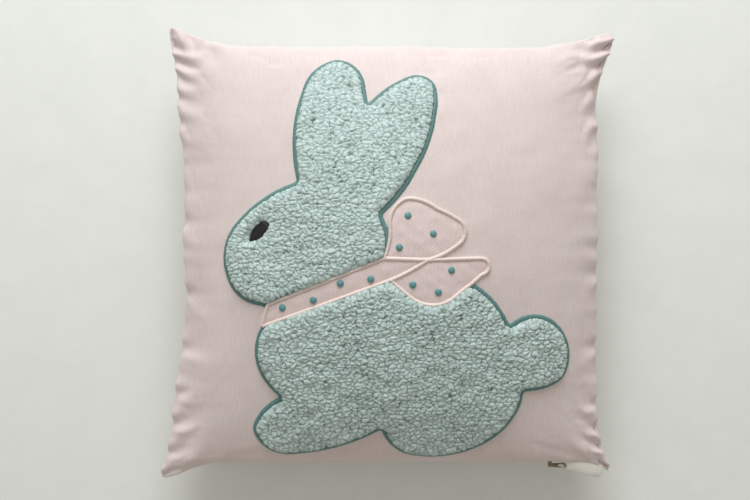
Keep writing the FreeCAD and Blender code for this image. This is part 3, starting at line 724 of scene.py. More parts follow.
def stitched(line, width, height, pitch, slant, ridge, seed, step=0.22, across_count=11):
    """Points, faces and a stitch mask for an arch with one ridge for each thread."""
    line = even(line, step)
    rows = len(line)
    ahead = np.roll(line, -2, axis=0) - np.roll(line, 2, axis=0)
    ahead /= np.linalg.norm(ahead, axis=1, keepdims=True)
    side = np.column_stack([ahead[:, 1], -ahead[:, 0]])
    along = np.arange(rows) * step
    draw = np.random.default_rng(seed)
    uneven = np.interp(along, np.arange(0, along[-1] + pitch, pitch),
                       draw.uniform(-1, 1, len(np.arange(0, along[-1] + pitch, pitch))))
    t = np.cos(np.linspace(np.pi, 0, across_count))
    turn = 2 * np.pi * (along[:, None] / pitch + slant * t[None] + 0.12 * uneven[:, None])
    thread = 0.5 + 0.5 * np.cos(turn)
    reach = width / 2 * (1 + 0.06 * uneven[:, None]) * (1 + 0.05 * (thread - 0.5))
    x = line[:, None, 0] + side[:, None, 0] * t * reach
    y = line[:, None, 1] + side[:, None, 1] * t * reach
    arch = height * np.sqrt(np.clip(1 - t * t, 0, 1))[None] + ridge * (thread - 0.5)
    arch = arch * (1 + 0.05 * uneven[:, None]) - 0.25
    base = lie(x, y)
    n = lean(x, y)
    points = np.stack([x, y, base], axis=-1) + n * arch[..., None]
    ids = np.arange(rows * across_count).reshape(rows, across_count)
    nxt = np.roll(ids, -1, axis=0)
    faces = np.stack([ids[:, :-1], ids[:, 1:], nxt[:, 1:], nxt[:, :-1]], axis=-1)[..., ::-1]
    return points.reshape(-1, 3), faces.reshape(-1, 4), thread.ravel()


def without(points, faces, lines, clear):
    """The faces that stay clear of the given outlines."""
    middles = points[faces].mean(1)[:, :2]
    keep = np.ones(len(faces), bool)
    for line in lines:
        box = (middles > line.min(0) - 6).all(1) & (middles < line.max(0) + 6).all(1)
        near = np.flatnonzero(box)
        if len(near):
            depth, _ = edge_distance(middles[near], line)
            keep[near[depth > -clear]] = False
    return faces[keep]


def trimmed(points, faces, mask):
    used = np.unique(faces)
    back = np.zeros(len(points), int)
    back[used] = np.arange(len(used))
    return points[used], back[faces], mask[used]


for label, line, seed in (("head", head_line, 61), ("body", body_line, 62)):
    points, faces, mask = stitched(offset_line(line, 2.2), 5.4, 1.8, 0.88, 0.15, 0.26, seed, 0.24)
    faces = without(points, faces, ribbon_lines.values(), 1.2)
    points, faces, mask = trimmed(points, faces, mask)
    made = piece(label + "_satin", points, faces, stands_for=[label + "_outline"])
    store(made, "stitch", mask)
    print(made.name, len(faces), "faces")

# %% The ribbon's corded edge
cord_parts = []
for k, line in enumerate(ribbon_lines.values()):
    cord_parts.append(stitched(line, 4.0, 3.0, 0.95, 0.5, 0.42, 71 + k, 0.24, 13))
first = 0
cord_points, cord_faces, cord_mask = [], [], []
for points, faces, mask in cord_parts:
    cord_points.append(points)
    cord_faces.append(faces + first)
    cord_mask.append(mask)
    first += len(points)
cording = piece("ribbon_cording", np.vstack(cord_points), np.vstack(cord_faces),
                stands_for=["ribbon_cord"])
store(cording, "stitch", np.concatenate(cord_mask))

# %% [markdown]
# ## Ribbon cloth
# Between its cords the ribbon is plain cloth, held down at its edges and a little puffed in the middle.

# %% The ribbon's three pieces
for k, (label, line) in enumerate(ribbon_lines.items()):
    low, high = line.min(0) - 2, line.max(0) + 2
    points, faces, depth, way = patch(within([line], [0.8]), 0.9, low, high)
    x, y = points[:, 0], points[:, 1]
    puff = 0.5 + 1.1 * (1 - np.exp(-depth / 4.0)) + 0.16 * waves(x, y, 81 + k, 13)
    place = np.column_stack([x, y, lie(x, y)]) + lean(x, y) * puff[:, None]
    made = piece(label + "_cloth", place, faces, stands_for=[label])
    lay_out(made, points)
    print(made.name, len(faces), "faces")

# %% [markdown]
# ## Eye and dots
# Both are satin stitch too: parallel threads over padding. Each is a dome with one ridge for each
# thread, the eye's threads rising to the right.

# %% Eye
points, faces, depth, way = patch(within([eye_line], [0.0]), 0.3, eye_line.min(0) - 1, eye_line.max(0) + 1)
x, y = points[:, 0], points[:, 1]
across_threads = -x * math.sin(0.35) + y * math.cos(0.35)
thread = 0.5 + 0.5 * np.cos(2 * np.pi * across_threads / 0.95 + 0.5 * waves(x, y, 91, 6))
round_off = np.sqrt(np.clip(1 - (1 - np.clip(depth / 3.5, 0, 1)) ** 2, 0, 1))
height = 3.2 * round_off + 0.24 * (thread - 0.5) * np.clip(depth, 0, 1) - 0.3
serrated = way * (0.35 * (thread - 0.5) * np.exp(-depth / 1.5))[:, None]
place = np.column_stack([x + serrated[:, 0], y + serrated[:, 1], lie(x, y)]) + lean(x, y) * height[:, None]
eye = piece("eye_stitches", place, faces, stands_for=["eye"])
store(eye, "stitch", thread)

# %% Dots
DOT_RADIUS, DOT_HEIGHT = 3.4, 2.4
dot_points, dot_faces, dot_mask = [], [], []
first = 0
for k, (cx, cy) in enumerate(DOTS):
    line = np.array([(cx + DOT_RADIUS * math.cos(a), cy + DOT_RADIUS * math.sin(a))
                     for a in np.linspace(0, 2 * np.pi, 48, endpoint=False)])
    points, faces, depth, way = patch(within([line], [0.0]), 0.28, line.min(0) - 1, line.max(0) + 1)
    x, y = points[:, 0], points[:, 1]
    lay = 0.35 + 0.2 * math.sin(3.7 * k)
    thread = 0.5 + 0.5 * np.cos(2 * np.pi * (-x * math.sin(lay) + y * math.cos(lay)) / 0.8)
    dome = DOT_HEIGHT * np.sqrt(np.clip(1 - (1 - depth / DOT_RADIUS) ** 2, 0, 1))
    height = 1.2 + dome + 0.2 * (thread - 0.5) * np.clip(depth, 0, 1)
    place = np.column_stack([x, y, lie(x, y)]) + lean(x, y) * height[:, None]
    dot_points.append(place)
    dot_faces.append(faces + first)
    dot_mask.append(thread)
    first += len(points)
dots = piece("ribbon_dot_stitches", np.vstack(dot_points), np.vstack(dot_faces),
             stands_for=["ribbon_dots"])
store(dots, "stitch", np.concatenate(dot_mask))
print("eye", len(eye.data.polygons), "faces, dots", len(dots.data.polygons))

# %% [markdown]
# ## Inside the cover
# The insert is a closed cotton bag round a block of wadding, and the stitching is backed by a thin
# nonwoven sheet. None of it shows, but each layer follows the finished cover a little further in, so
# that nothing inside pokes through a crease.

# %% Closed layers: casing and filling


def closed(name, inset, tip_inset, node, slot, steps=97):
    """A closed form inside the cover, with the cover's creases."""
    halves = []
    for side in (1, -1):
        grid, u, v = form(steps, side, inset, tip_inset)
        grid = ruffle(grid, u, v, side) + finer(moves[0 if side > 0 else 1], steps)
        halves.append(grid)
    rim = np.ones((steps, steps), bool)
    rim[1:-1, 1:-1] = False
    halves[1][rim] = halves[0][rim]
    points = np.vstack([halves[0].reshape(-1, 3), halves[1][~rim]])
    back = np.arange(steps * steps).reshape(steps, steps)
    back[~rim] = steps * steps + np.arange((~rim).sum())
    faces = np.vstack([quads(steps, 1), back.reshape(-1)[quads(steps, -1)]])
    made = piece(name, points, faces, stands_for=[node])
    flat = np.column_stack([points[:, 0], points[:, 1]])
    lay_out(made, flat)
    return made


casing = closed("casing_cloth", 6.0, 14, "insert_casing", "casing_cloth")
filling = closed("filling_fibre", 7.5, 14, "insert_filling", "filling_fibre")

# %% Backing sheet inside the front
grid, u, v = form(141, 1, 2.0)
grid = ruffle(grid, u, v, 1) + finer(moves[0], 141)
middle = grid.reshape(-1, 3)[quads(141, 1)].mean(1)
reach_x, reach_y = np.abs(middle[:, 0]) - 135, np.abs(middle[:, 1]) - 160
rounded = np.hypot(np.maximum(reach_x, 0), np.maximum(reach_y, 0)) < 40
points, faces, _ = trimmed(grid.reshape(-1, 3), quads(141, 1)[rounded], np.zeros(141 * 141))
points[:, 2] -= 0.6
backing = piece("backing_sheet", points, faces, stands_for=["applique_backing"])
print("casing", len(casing.data.polygons), "backing", len(backing.data.polygons))

# %% [markdown]
# ## The edge seam's stitches
# A lockstitch runs round three sides and past the ends of the zip, a few millimetres in. Each stitch is
# a short thread with a gap after it, all joined into one piece.

# %% Stitches inside the seam
side_grid, _, _ = form(301, 1, 2.6, 9)
ring = np.vstack([side_grid[:-1, 0], side_grid[-1, :-1], side_grid[:0:-1, -1], side_grid[0, :0:-1]])
ring_along = np.r_[0, np.cumsum(np.linalg.norm(np.diff(ring, axis=0), axis=1))]
THREAD_STITCH, THREAD_GAP, THREAD_RADIUS = 2.6, 0.5, 0.25
starts = np.arange(2, ring_along[-1] - 4, THREAD_STITCH + THREAD_GAP)
turns = np.linspace(0, 2 * np.pi, 6, endpoint=False)
thread_points, thread_faces = [], []
for start in starts:
    at = start + np.array([0, 0.25, 1.3, 2.35, 2.6])
    middle = np.stack([np.interp(at, ring_along, ring[:, k]) for k in range(3)], axis=1)
    if middle[:, 1].max() < -190 and np.abs(middle[:, 0]).max() < ZIP_HALF + 2:
        continue
    ahead = middle[-1] - middle[0]
    ahead /= np.linalg.norm(ahead)
    side_way = np.cross(ahead, [0, 0, 1])
    up = np.cross(side_way, ahead)
    thick = THREAD_RADIUS * np.array([0.3, 0.9, 1.0, 0.9, 0.3])
    first = sum(len(p) for p in thread_points)
    loop = (middle[:, None] + thick[:, None, None]
            * (np.cos(turns)[None, :, None] * side_way + np.sin(turns)[None, :, None] * up))
    thread_points.append(loop.reshape(-1, 3))
    ids = first + np.arange(30).reshape(5, 6)
    thread_faces.append(np.stack([ids[:-1], np.roll(ids, -1, 1)[:-1], np.roll(ids, -1, 1)[1:], ids[1:]],
                                 axis=-1).reshape(-1, 4))
stitches = piece("seam_stitches", np.vstack(thread_points), np.vstack(thread_faces),
                 stands_for=["edge_seam_thread"])
# Each stitch is lighter in its middle and darker at its ends, where it dips into the cloth: a painted highlight and
# painted shade.
store(stitches, "stitch", np.tile([0.3, 0.7, 1, 0.7, 0.3], len(thread_points)).repeat(6))
print(len(thread_points), "stitches")

# %% [markdown]
# ## The zip
# A coil zip lies hidden inside the lower seam: two tapes, each with a nylon coil, a slider whose neck
# runs between the coils, and a pull that comes out between the seam's lips. A coil is one thread wound
# round and round, so it is swept as a flattened helix. The slider keeps its exact shape and takes only
# small bevels.

# %% Coils
COIL_PITCH = 1.5


def coil(name, node):
    low, high = (np.array(corner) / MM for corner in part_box(node))
    middle, half = (low + high) / 2, (high - low) / 2
    turns_count = (high[0] - low[0] - 1) / COIL_PITCH
    t = np.linspace(0, 1, int(turns_count * 12))
    angle = 2 * np.pi * turns_count * t
    wire = 0.3
    line = np.column_stack([low[0] + 0.5 + (high[0] - low[0] - 1) * t,
                            middle[1] + (half[1] - wire) * np.cos(angle),
                            middle[2] + (half[2] - wire) * np.sin(angle)])
    ahead = np.gradient(line, axis=0)
    ahead /= np.linalg.norm(ahead, axis=1, keepdims=True)
    out = line - np.column_stack([line[:, 0], np.full(len(line), middle[1]), np.full(len(line), middle[2])])
    out /= np.linalg.norm(out, axis=1, keepdims=True)
    cross = np.cross(ahead, out)
    around = np.linspace(0, 2 * np.pi, 6, endpoint=False)
    points = (line[:, None] + wire * (np.cos(around)[None, :, None] * out[:, None]
                                      + np.sin(around)[None, :, None] * cross[:, None]))
    ids = np.arange(len(line) * 6).reshape(-1, 6)
    faces = np.stack([ids[:-1], ids[1:], np.roll(ids, -1, 1)[1:], np.roll(ids, -1, 1)[:-1]],
                     axis=-1).reshape(-1, 4)
    return piece(name, points.reshape(-1, 3), faces, stands_for=[node])


coil("coil_front", "zip_coil_front")
coil("coil_back", "zip_coil_back")


def bevelled(obj, width, segments=3):
    edge = obj.modifiers.new("Bevel", "BEVEL")
    edge.width = width * MM
    edge.segments = segments
    edge.limit_method = "ANGLE"
    obj.modifiers.new("Weighted", "WEIGHTED_NORMAL")


bevelled(frame["nodes"]["zip_slider"], 0.18)
bevelled(frame["nodes"]["zip_stops"], 0.25)

# %% [markdown]
# ## The pull
# A cast teardrop: narrow at its pin, round at its end, thicker at its rim, with a slot to grip. Its
# outline is drawn once and repeated at several heights with a small inset, which gives the rounded rim
# that a plain extrusion lacks.

# %% Pull
low, high = (np.array(corner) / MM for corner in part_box("zip_pull"))
pin_x, pin_y, pin_z = low[0] + 1.6, (low[1] + high[1]) / 2, (low[2] + high[2]) / 2
pull_long, pull_high = high[0] - pin_x, high[2] - low[2]


def teardrop(inset, count=64):
    """The pull's outline round its pin, anticlockwise."""
    near, far = 1.6 - inset, 2.5 - inset
    far_x = pull_long - 2.5
    points = []
    for k in range(count):
        a = 2 * np.pi * k / count
        way = np.array([math.cos(a), math.sin(a)])
        centre, radius = ((far_x, far) if way[0] > 0.06 else (0.0, near))
        points.append((centre + radius * way[0], radius * way[1]))
    return np.array(points)


def slot_outline(grow, count=64):
    """A rounded slot near the round end."""
    a = 2 * np.pi * np.arange(count) / count
    shift = np.where(np.cos(a) > 0, 1.8, -1.8)
    return np.column_stack([pull_long - 5.2 + shift + (0.95 + grow) * np.cos(a), (0.95 + grow) * np.sin(a)])


half_high = pull_high / 2
layers = []
for inset, z in ((0.45, -1.0), (0.12, -0.86), (0, -0.5), (0, 0.5), (0.12, 0.86), (0.45, 1.0)):
    layers.append(np.column_stack([teardrop(inset), np.full(64, z * half_high)]))
for grow, z in ((0.75, 0.95), (0.5, 0.62), (0.1, 0.55), (0, 0.4), (0, -0.4), (0.1, -0.55), (0.5, -0.62),
                (0.75, -0.95)):
    layers.append(np.column_stack([slot_outline(grow), np.full(64, z * half_high)]))
pull_points = np.vstack(layers) + np.array([pin_x, pin_y, pin_z])
ids = np.arange(len(pull_points)).reshape(-1, 64)
nxt = np.roll(ids, -1, axis=0)
pull_faces = np.stack([ids, np.roll(ids, -1, 1), np.roll(nxt, -1, 1), nxt], axis=-1).reshape(-1, 4)
pull = piece("zip_pull_metal", pull_points, pull_faces, body="pull",
             stands_for=["zip_pull"])
print("pull", len(pull.data.polygons), "faces,", round(pull_long, 1), "mm long")

# %% [markdown]
# ## The label
# A strip of woven ribbon, folded in half along its length and caught in the seam near the corner, its
# right end folded back at forty-five degrees. It is soft, so it bends from the seam, where it is held,
# to its free edge, which flaps.

# %% Label
flap = next(joint for joint in frame["joints"] if joint["name"] == "label_flap")
hinge = np.array(flap["pos_m"]) / MM
line_way = np.array(flap["axis"])
out_way = np.array([line_way[1], -line_way[0], 0.0])
LABEL_HALF, LABEL_OUT, LABEL_IN, LABEL_PLY = 17.0, 7.6, 4.6, 0.32
along_count, around_count = 85, 44
label_points = np.zeros((along_count, around_count, 3))
for i, s in enumerate(np.linspace(-1, 1, along_count)):
    edge = LABEL_OUT + 0.35 * math.sin(5.0 * s + 0.8) + 0.2 * math.sin(11 * s)
    edge = edge - 3.0 * max(0, s - 0.86) / 0.14
    tuck = LABEL_IN + 1.5 * (s + 1) / 2
    for j in range(around_count):
        a = 2 * np.pi * j / around_count
        squared = math.copysign(abs(math.cos(a)) ** 0.35, math.cos(a))
        reach_out = (edge - tuck) / 2 + (edge + tuck) / 2 * squared
        ply = LABEL_PLY * math.copysign(abs(math.sin(a)) ** 0.5, math.sin(a))
        ply *= 1.0 + 0.25 * math.cos(3 * s)
        droop = -0.035 * max(0, reach_out) ** 2 + 0.25 * math.sin(4.2 * s + 0.5) * max(0, reach_out) / 4
        place = hinge + line_way * LABEL_HALF * s + out_way * reach_out
        label_points[i, j] = place + np.array([0, 0, ply + droop])
ids = np.arange(along_count * around_count).reshape(along_count, around_count)
nxt = np.roll(ids, -1, axis=1)
label_faces = np.stack([ids[:-1], ids[1:], nxt[1:], nxt[:-1]], axis=-1).reshape(-1, 4).tolist()
label_faces += [ids[0].tolist(), ids[-1][::-1].tolist()]
label_places = label_points.reshape(-1, 3)
label_piece = piece("label_cloth", label_places, label_faces, body=None)
flat = np.column_stack([np.repeat(np.linspace(-17, 17, along_count), around_count),
                        np.tile(np.linspace(0, 26, around_count), along_count)])
lay_out(label_piece, flat)
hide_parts("label")
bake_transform(label_piece)
print("label from", label_places.min(0).round(1), "to", label_places.max(0).round(1))

# %% [markdown]
# ## What is soft

# %% [markdown]
# ## Materials
# What several finishes share is a node group: crossing yarns, the grain of fibres, and the painted glint and
# shade of satin thread. Each group gives out only masks and heights; the shader itself stays in the material.

# %% Helpers for node trees


def group(name, inputs, outputs):
    """An empty shader node group with named sockets."""
    tree = bpy.data.node_groups.new(name, "ShaderNodeTree")
    for label, kind, value in inputs:
        socket = tree.interface.new_socket(label, in_out="INPUT", socket_type=kind)
        if value is not None:
            socket.default_value = value
    for label, kind in outputs:
        tree.interface.new_socket(label, in_out="OUTPUT", socket_type=kind)
    return tree, tree.nodes.new("NodeGroupInput"), tree.nodes.new("NodeGroupOutput")


def add(tree, kind, **settings):
    """A node with its settings; a name with a socket's name sets that socket."""
    made = tree.nodes.new(kind)
    for key, value in settings.items():
        if hasattr(made, key):
            setattr(made, key, value)
        else:
            made.inputs[key.replace("_", " ")].default_value = value
    return made


def maths(tree, operation, first, second, third=None):
    """One sum; each term is a socket or a number."""
    made = tree.nodes.new("ShaderNodeMath")
    made.operation = operation
    for socket, term in zip(made.inputs, (first, second, third)):
        if term is None:
            continue
        if isinstance(term, (int, float)):
            socket.default_value = term
        else:
            tree.links.new(term, socket)
    return made.outputs[0]


# %% Crossing yarns: a twill with uneven threads
twill, twill_in, twill_out = group(
    "twill",
    [("Pitch", "NodeSocketFloat", 1.5), ("Angle", "NodeSocketFloat", 0.6), ("Unevenness", "NodeSocketFloat", 0.4)],
    [("Height", "NodeSocketFloat"), ("Slub", "NodeSocketFloat")])
cut_map = add(twill, "ShaderNodeUVMap", uv_map="cut")
turned = twill.nodes.new("ShaderNodeVectorRotate")
turned.rotation_type = "Z_AXIS"
twill.links.new(cut_map.outputs[0], turned.inputs["Vector"])
twill.links.new(twill_in.outputs["Angle"], turned.inputs["Angle"])
parts = twill.nodes.new("ShaderNodeSeparateXYZ")
twill.links.new(turned.outputs[0], parts.inputs[0])
wobble = add(twill, "ShaderNodeTexNoise", Scale=90.0, Detail=3.0)
twill.links.new(cut_map.outputs[0], wobble.inputs["Vector"])
pace = maths(twill, "DIVIDE", 6283.0, twill_in.outputs["Pitch"])
shift = maths(twill, "MULTIPLY", wobble.outputs[0], maths(twill, "MULTIPLY", twill_in.outputs["Unevenness"], 9.0))
ribs = maths(twill, "SINE", maths(twill, "ADD", maths(twill, "MULTIPLY", parts.outputs["Y"], pace), shift), 0)
beads = maths(twill, "SINE", maths(twill, "MULTIPLY", parts.outputs["X"], pace), 0)
woven = maths(twill, "ADD", maths(twill, "MULTIPLY", ribs, 0.36), maths(twill, "MULTIPLY", beads, 0.14))
stretched = add(twill, "ShaderNodeMapping")
stretched.inputs["Scale"].default_value = (900, 60, 1)
twill.links.new(cut_map.outputs[0], stretched.inputs["Vector"])
slubs = add(twill, "ShaderNodeTexNoise", Scale=1.0, Detail=2.0)
twill.links.new(stretched.outputs[0], slubs.inputs["Vector"])
twill.links.new(maths(twill, "ADD", woven, 0.5), twill_out.inputs["Height"])
twill.links.new(slubs.outputs[0], twill_out.inputs["Slub"])

# %% Fine fibres that stand up from a cloth or a pile
fibres, fibres_in, fibres_out = group(
    "fibres",
    [("Scale", "NodeSocketFloat", 900.0)],
    [("Height", "NodeSocketFloat"), ("Mottle", "NodeSocketFloat")])
place = fibres.nodes.new("ShaderNodeTexCoord")
fuzz = add(fibres, "ShaderNodeTexNoise", Detail=4.0, Roughness=0.65)
mottle = add(fibres, "ShaderNodeTexNoise", Scale=28.0, Detail=3.0)
fibres.links.new(place.outputs["Object"], fuzz.inputs["Vector"])
fibres.links.new(place.outputs["Object"], mottle.inputs["Vector"])
fibres.links.new(fibres_in.outputs["Scale"], fuzz.inputs["Scale"])
fibres.links.new(fuzz.outputs[0], fibres_out.inputs["Height"])
fibres.links.new(mottle.outputs[0], fibres_out.inputs["Mottle"])

# %% Thread laid side by side: painted shade between threads and a painted highlight on each crown
threads, threads_in, threads_out = group(
    "threads", [("Depth", "NodeSocketFloat", 0.5)], [("Shade", "NodeSocketFloat"), ("Height", "NodeSocketFloat")])
laid = add(threads, "ShaderNodeAttribute", attribute_name="stitch")
strands = add(threads, "ShaderNodeTexNoise", Scale=2600.0, Detail=2.0)
where = threads.nodes.new("ShaderNodeTexCoord")
threads.links.new(where.outputs["Object"], strands.inputs["Vector"])
soft = maths(threads, "MULTIPLY", maths(threads, "SUBTRACT", 1.0, laid.outputs["Fac"]), threads_in.outputs["Depth"])
threads.links.new(maths(threads, "SUBTRACT", 1.0, soft), threads_out.inputs["Shade"])
threads.links.new(strands.outputs[0], threads_out.inputs["Height"])


def place_group(tree, which, **values):
    made = tree.nodes.new("ShaderNodeGroup")
    made.node_tree = which
    for label, value in values.items():
        made.inputs[label].default_value = value
    return made


def shade(tree, mask, stops):
    """Colours along a mask."""
    ramp = tree.nodes.new("ShaderNodeValToRGB")
    while len(ramp.color_ramp.elements) < len(stops):
        ramp.color_ramp.elements.new(0.5)
    for element, (at, colour) in zip(ramp.color_ramp.elements, stops):
        element.position = at
        element.color = (*colour, 1)
    tree.links.new(mask, ramp.inputs[0])
    return ramp.outputs[0]


def bump(tree, height, distance, strength=1.0):
    made = add(tree, "ShaderNodeBump", Strength=strength, Distance=distance)
    tree.links.new(height, made.inputs["Height"])
    return made.outputs[0]


def finish_shader(name, roughness, specular=0.3, sheen=0.0, sheen_roughness=0.4, metallic=0.0):
    """A new material and its shader, its even values set on the shader itself."""
    made = bpy.data.materials.new(name)
    made.use_nodes = True
    shader = made.node_tree.nodes["Principled BSDF"]
    shader.inputs["Roughness"].default_value = roughness
    shader.inputs["Specular IOR Level"].default_value = specular
    shader.inputs["Sheen Weight"].default_value = sheen
    shader.inputs["Sheen Roughness"].default_value = sheen_roughness
    shader.inputs["Metallic"].default_value = metallic
    return made, made.node_tree, shader


# %% Woven cottons


def woven(name, dark, light, pitch, angle, depth, roughness=0.9):
    """A plain-coloured twill: bright ribs, darker lines between them, a few slubs."""
    made, tree, shader = finish_shader(name, roughness, 0.2, 0.25, 0.5)
    yarn = place_group(tree, twill, Pitch=pitch, Angle=angle)
    nap = place_group(tree, fibres, Scale=1500.0)
    tone = maths(tree, "ADD", maths(tree, "MULTIPLY", yarn.outputs["Height"], 0.42),
                 maths(tree, "MULTIPLY", yarn.outputs["Slub"], 0.38))
    tone = maths(tree, "ADD", tone, maths(tree, "MULTIPLY", nap.outputs["Mottle"], 0.2))
    tree.links.new(shade(tree, tone, [(0.25, dark), (0.72, light)]), shader.inputs["Base Color"])
    fuzz = maths(tree, "MULTIPLY", nap.outputs["Height"], 0.5)
    height = maths(tree, "ADD", yarn.outputs["Height"], fuzz)
    tree.links.new(bump(tree, height, depth), shader.inputs["Normal"])
    return made


pink_cotton = woven("pink_cotton", (0.66, 0.54, 0.53), (0.84, 0.755, 0.75), 1.6, 0.62, 0.00028)
ribbon_cotton = woven("ribbon_cotton", (0.66, 0.52, 0.51), (0.86, 0.745, 0.74), 1.5, 0.35, 0.00025)
casing_cotton = woven("casing_cotton", (0.72, 0.72, 0.70), (0.86, 0.86, 0.84), 1.0, 0.0, 0.0002)
label_satin = woven("label_satin", (0.72, 0.70, 0.64), (0.88, 0.87, 0.82), 0.6, 1.571, 0.00008, 0.5)
tape_weave = woven("tape_weave", (0.50, 0.34, 0.32), (0.66, 0.50, 0.48), 0.9, 0.785, 0.0002)

# %% Fleece: painted highlight on the curls' tops, painted shade in the gaps between them and at the rim
fleece_and_painted_gap_shade, tree, shader = finish_shader("fleece_and_painted_gap_shade", 0.95, 0.15, 0.55, 0.45)
depth = add(tree, "ShaderNodeAttribute", attribute_name="pile")
nap = place_group(tree, fibres, Scale=1300.0)
tone = maths(tree, "ADD", maths(tree, "MULTIPLY", depth.outputs["Fac"], 0.8),
             maths(tree, "MULTIPLY", nap.outputs["Mottle"], 0.25))
tone = maths(tree, "ADD", tone, maths(tree, "MULTIPLY", nap.outputs["Height"], 0.12))
# The ramp from near black to pale paints shade into the gaps and light onto the curls' tops.
tree.links.new(shade(tree, tone, [(0.22, (0.07, 0.085, 0.065)), (0.48, (0.40, 0.52, 0.50)),
                                  (0.95, (0.70, 0.84, 0.83))]), shader.inputs["Base Color"])
tree.links.new(bump(tree, nap.outputs["Height"], 0.0007, 0.8), shader.inputs["Normal"])

# %% Satin stitch and cord


def satin(name, dark, light, gloss, depth):
    """Embroidery thread: a painted highlight along each stitch's crown and painted shade beside it."""
    made, tree, shader = finish_shader(name, gloss, 0.5, 0.15, 0.3)
    lines = place_group(tree, threads, Depth=depth)
    nap = place_group(tree, fibres, Scale=1800.0)
    tone = maths(tree, "ADD", maths(tree, "MULTIPLY", lines.outputs["Shade"], 0.8),
                 maths(tree, "MULTIPLY", nap.outputs["Mottle"], 0.2))
    tree.links.new(shade(tree, tone, [(0.3, dark), (0.9, light)]), shader.inputs["Base Color"])
    tree.links.new(bump(tree, lines.outputs["Height"], 0.00012, 0.6), shader.inputs["Normal"])
    return made


teal_satin = satin("teal_satin", (0.035, 0.11, 0.105), (0.19, 0.38, 0.37), 0.42, 0.8)
cream_satin = satin("cream_satin", (0.60, 0.44, 0.40), (0.95, 0.87, 0.83), 0.5, 0.6)
dot_satin = satin("dot_satin", (0.04, 0.15, 0.16), (0.18, 0.42, 0.43), 0.45, 0.7)
black_satin = satin("black_satin", (0.002, 0.003, 0.003), (0.016, 0.02, 0.02), 0.4, 0.7)
seam_satin = satin("seam_satin", (0.5, 0.36, 0.35), (0.8, 0.62, 0.6), 0.6, 0.4)

# %% Wadding, backing, nylon, metal and floor


def fluffy(name, dark, light, scale, depth, roughness=0.95, specular=0.1):
    """Loose fibres with no weave."""
    made, tree, shader = finish_shader(name, roughness, specular, 0.3, 0.5)
    nap = place_group(tree, fibres, Scale=scale)
    tone = maths(tree, "ADD", maths(tree, "MULTIPLY", nap.outputs["Height"], 0.6),
                 maths(tree, "MULTIPLY", nap.outputs["Mottle"], 0.4))
    tree.links.new(shade(tree, tone, [(0.3, dark), (0.7, light)]), shader.inputs["Base Color"])
    tree.links.new(bump(tree, nap.outputs["Height"], depth), shader.inputs["Normal"])
    return made


wadding = fluffy("wadding", (0.70, 0.70, 0.68), (0.88, 0.88, 0.86), 240.0, 0.0015)
nonwoven = fluffy("nonwoven", (0.74, 0.74, 0.72), (0.88, 0.88, 0.86), 900.0, 0.0002)
coil_nylon = fluffy("coil_nylon", (0.48, 0.32, 0.30), (0.66, 0.48, 0.46), 700.0, 0.00005, 0.35, 0.5)
zip_metal, tree, shader = finish_shader("zip_metal", 0.34, 0.5, 0.0, 0.4, 1.0)
nap = place_group(tree, fibres, Scale=600.0)
tree.links.new(shade(tree, nap.outputs["Mottle"], [(0.3, (0.16, 0.13, 0.09)), (0.7, (0.36, 0.31, 0.23))]),
               shader.inputs["Base Color"])
tree.links.new(maths(tree, "MULTIPLY_ADD", nap.outputs["Height"], 0.3, 0.25), shader.inputs["Roughness"])
floor_paint = fluffy("floor_paint", (0.80, 0.835, 0.81), (0.85, 0.88, 0.855), 30.0, 0.0002, 0.8, 0.2)

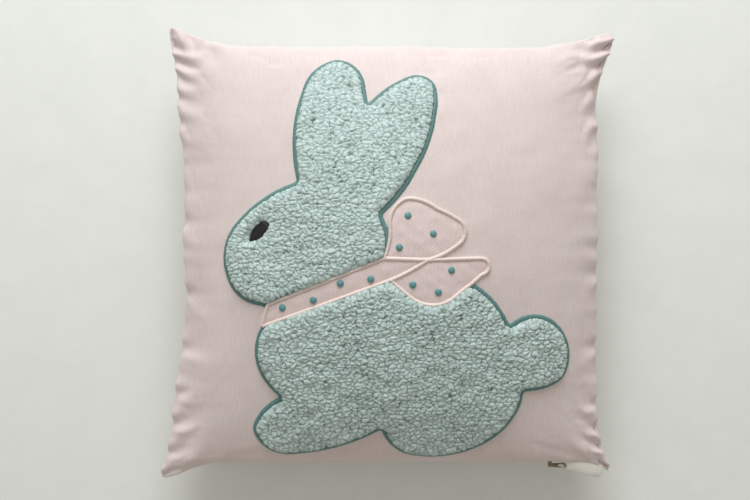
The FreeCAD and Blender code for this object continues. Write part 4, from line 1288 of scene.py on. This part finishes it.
FINISHES = {
    pink_cotton: ["front_panel_cloth", "back_panel_cloth"],
    ribbon_cotton: ["neck_band_cloth", "bow_loop_cloth", "bow_tail_cloth"],
    casing_cotton: ["casing_cloth"],
    wadding: ["filling_fibre"],
    nonwoven: ["backing_sheet"],
    fleece_and_painted_gap_shade: ["head_fleece", "body_fleece"],
    teal_satin: ["head_satin", "body_satin"],
    cream_satin: ["ribbon_cording"],
    dot_satin: ["ribbon_dot_stitches"],
    black_satin: ["eye_stitches"],
    seam_satin: ["seam_stitches"],
    coil_nylon: ["coil_front", "coil_back"],
    label_satin: ["label_cloth"],
    tape_weave: ["zip_tape_front", "zip_tape_back"],
    zip_metal: ["zip_slider", "zip_pull_metal", "zip_stops"],
}
for finish, names in FINISHES.items():
    for name in names:
        target = frame["nodes"].get(name) or bpy.data.objects[name]
        target.data.materials.clear()
        target.data.materials.append(finish)
print(len(FINISHES), "finishes")

# %% [markdown]
# ## Floor, light and camera
# The cushion lies on a pale floor. One large soft light stands beyond the ears and gives the long soft
# falloff down the cushion and a shadow only on the near side; a pale world fills the rest. The camera
# looks straight down from about a metre, as one does at something lying on a floor.

# %% Floor
reach = 3.0
floor_mesh = bpy.data.meshes.new("floor")
floor_mesh.from_pydata([(-reach, -reach, 0), (reach, -reach, 0), (reach, reach, 0), (-reach, reach, 0)],
                       [], [(0, 1, 2, 3)])
floor = bpy.data.objects.new("floor", floor_mesh)
bpy.context.scene.collection.objects.link(floor)
floor.data.materials.append(floor_paint)

# %% Light
KEY_POWER = 34.0
FILL_POWER = 2.2
ROOM_LIGHT = 0.40


def soft_light(name, place, target, width, power, colour):
    """A square soft light aimed at a point."""
    lamp = bpy.data.lights.new(name, "AREA")
    lamp.size = width
    lamp.energy = power
    lamp.color = colour
    holder = bpy.data.objects.new(name, lamp)
    holder.location = place
    holder.rotation_euler = (Vector(target) - Vector(place)).to_track_quat("-Z", "Y").to_euler()
    bpy.context.scene.collection.objects.link(holder)


soft_light("window", (-0.12, 1.60, 1.0), (0, 0, 0.05), 1.3, KEY_POWER, (0.97, 0.99, 1.0))
soft_light("ceiling", (-0.3, 0.2, 2.2), (0, 0, 0), 1.8, FILL_POWER, (0.96, 0.98, 1.0))
world = bpy.data.worlds.new("room")
world.use_nodes = True
room = world.node_tree.nodes["Background"]
room.inputs["Color"].default_value = (1.0, 0.94, 0.84, 1)
room.inputs["Strength"].default_value = ROOM_LIGHT
bpy.context.scene.world = world
bpy.context.scene.view_settings.view_transform = "Standard"

# %% Camera
lens = bpy.data.cameras.new("camera")
lens.lens = 50
lens.sensor_width = 36
camera = bpy.data.objects.new("camera", lens)
camera.location = (-0.0132, 0.0027, 1.076)
bpy.context.scene.collection.objects.link(camera)
bpy.context.scene.camera = camera
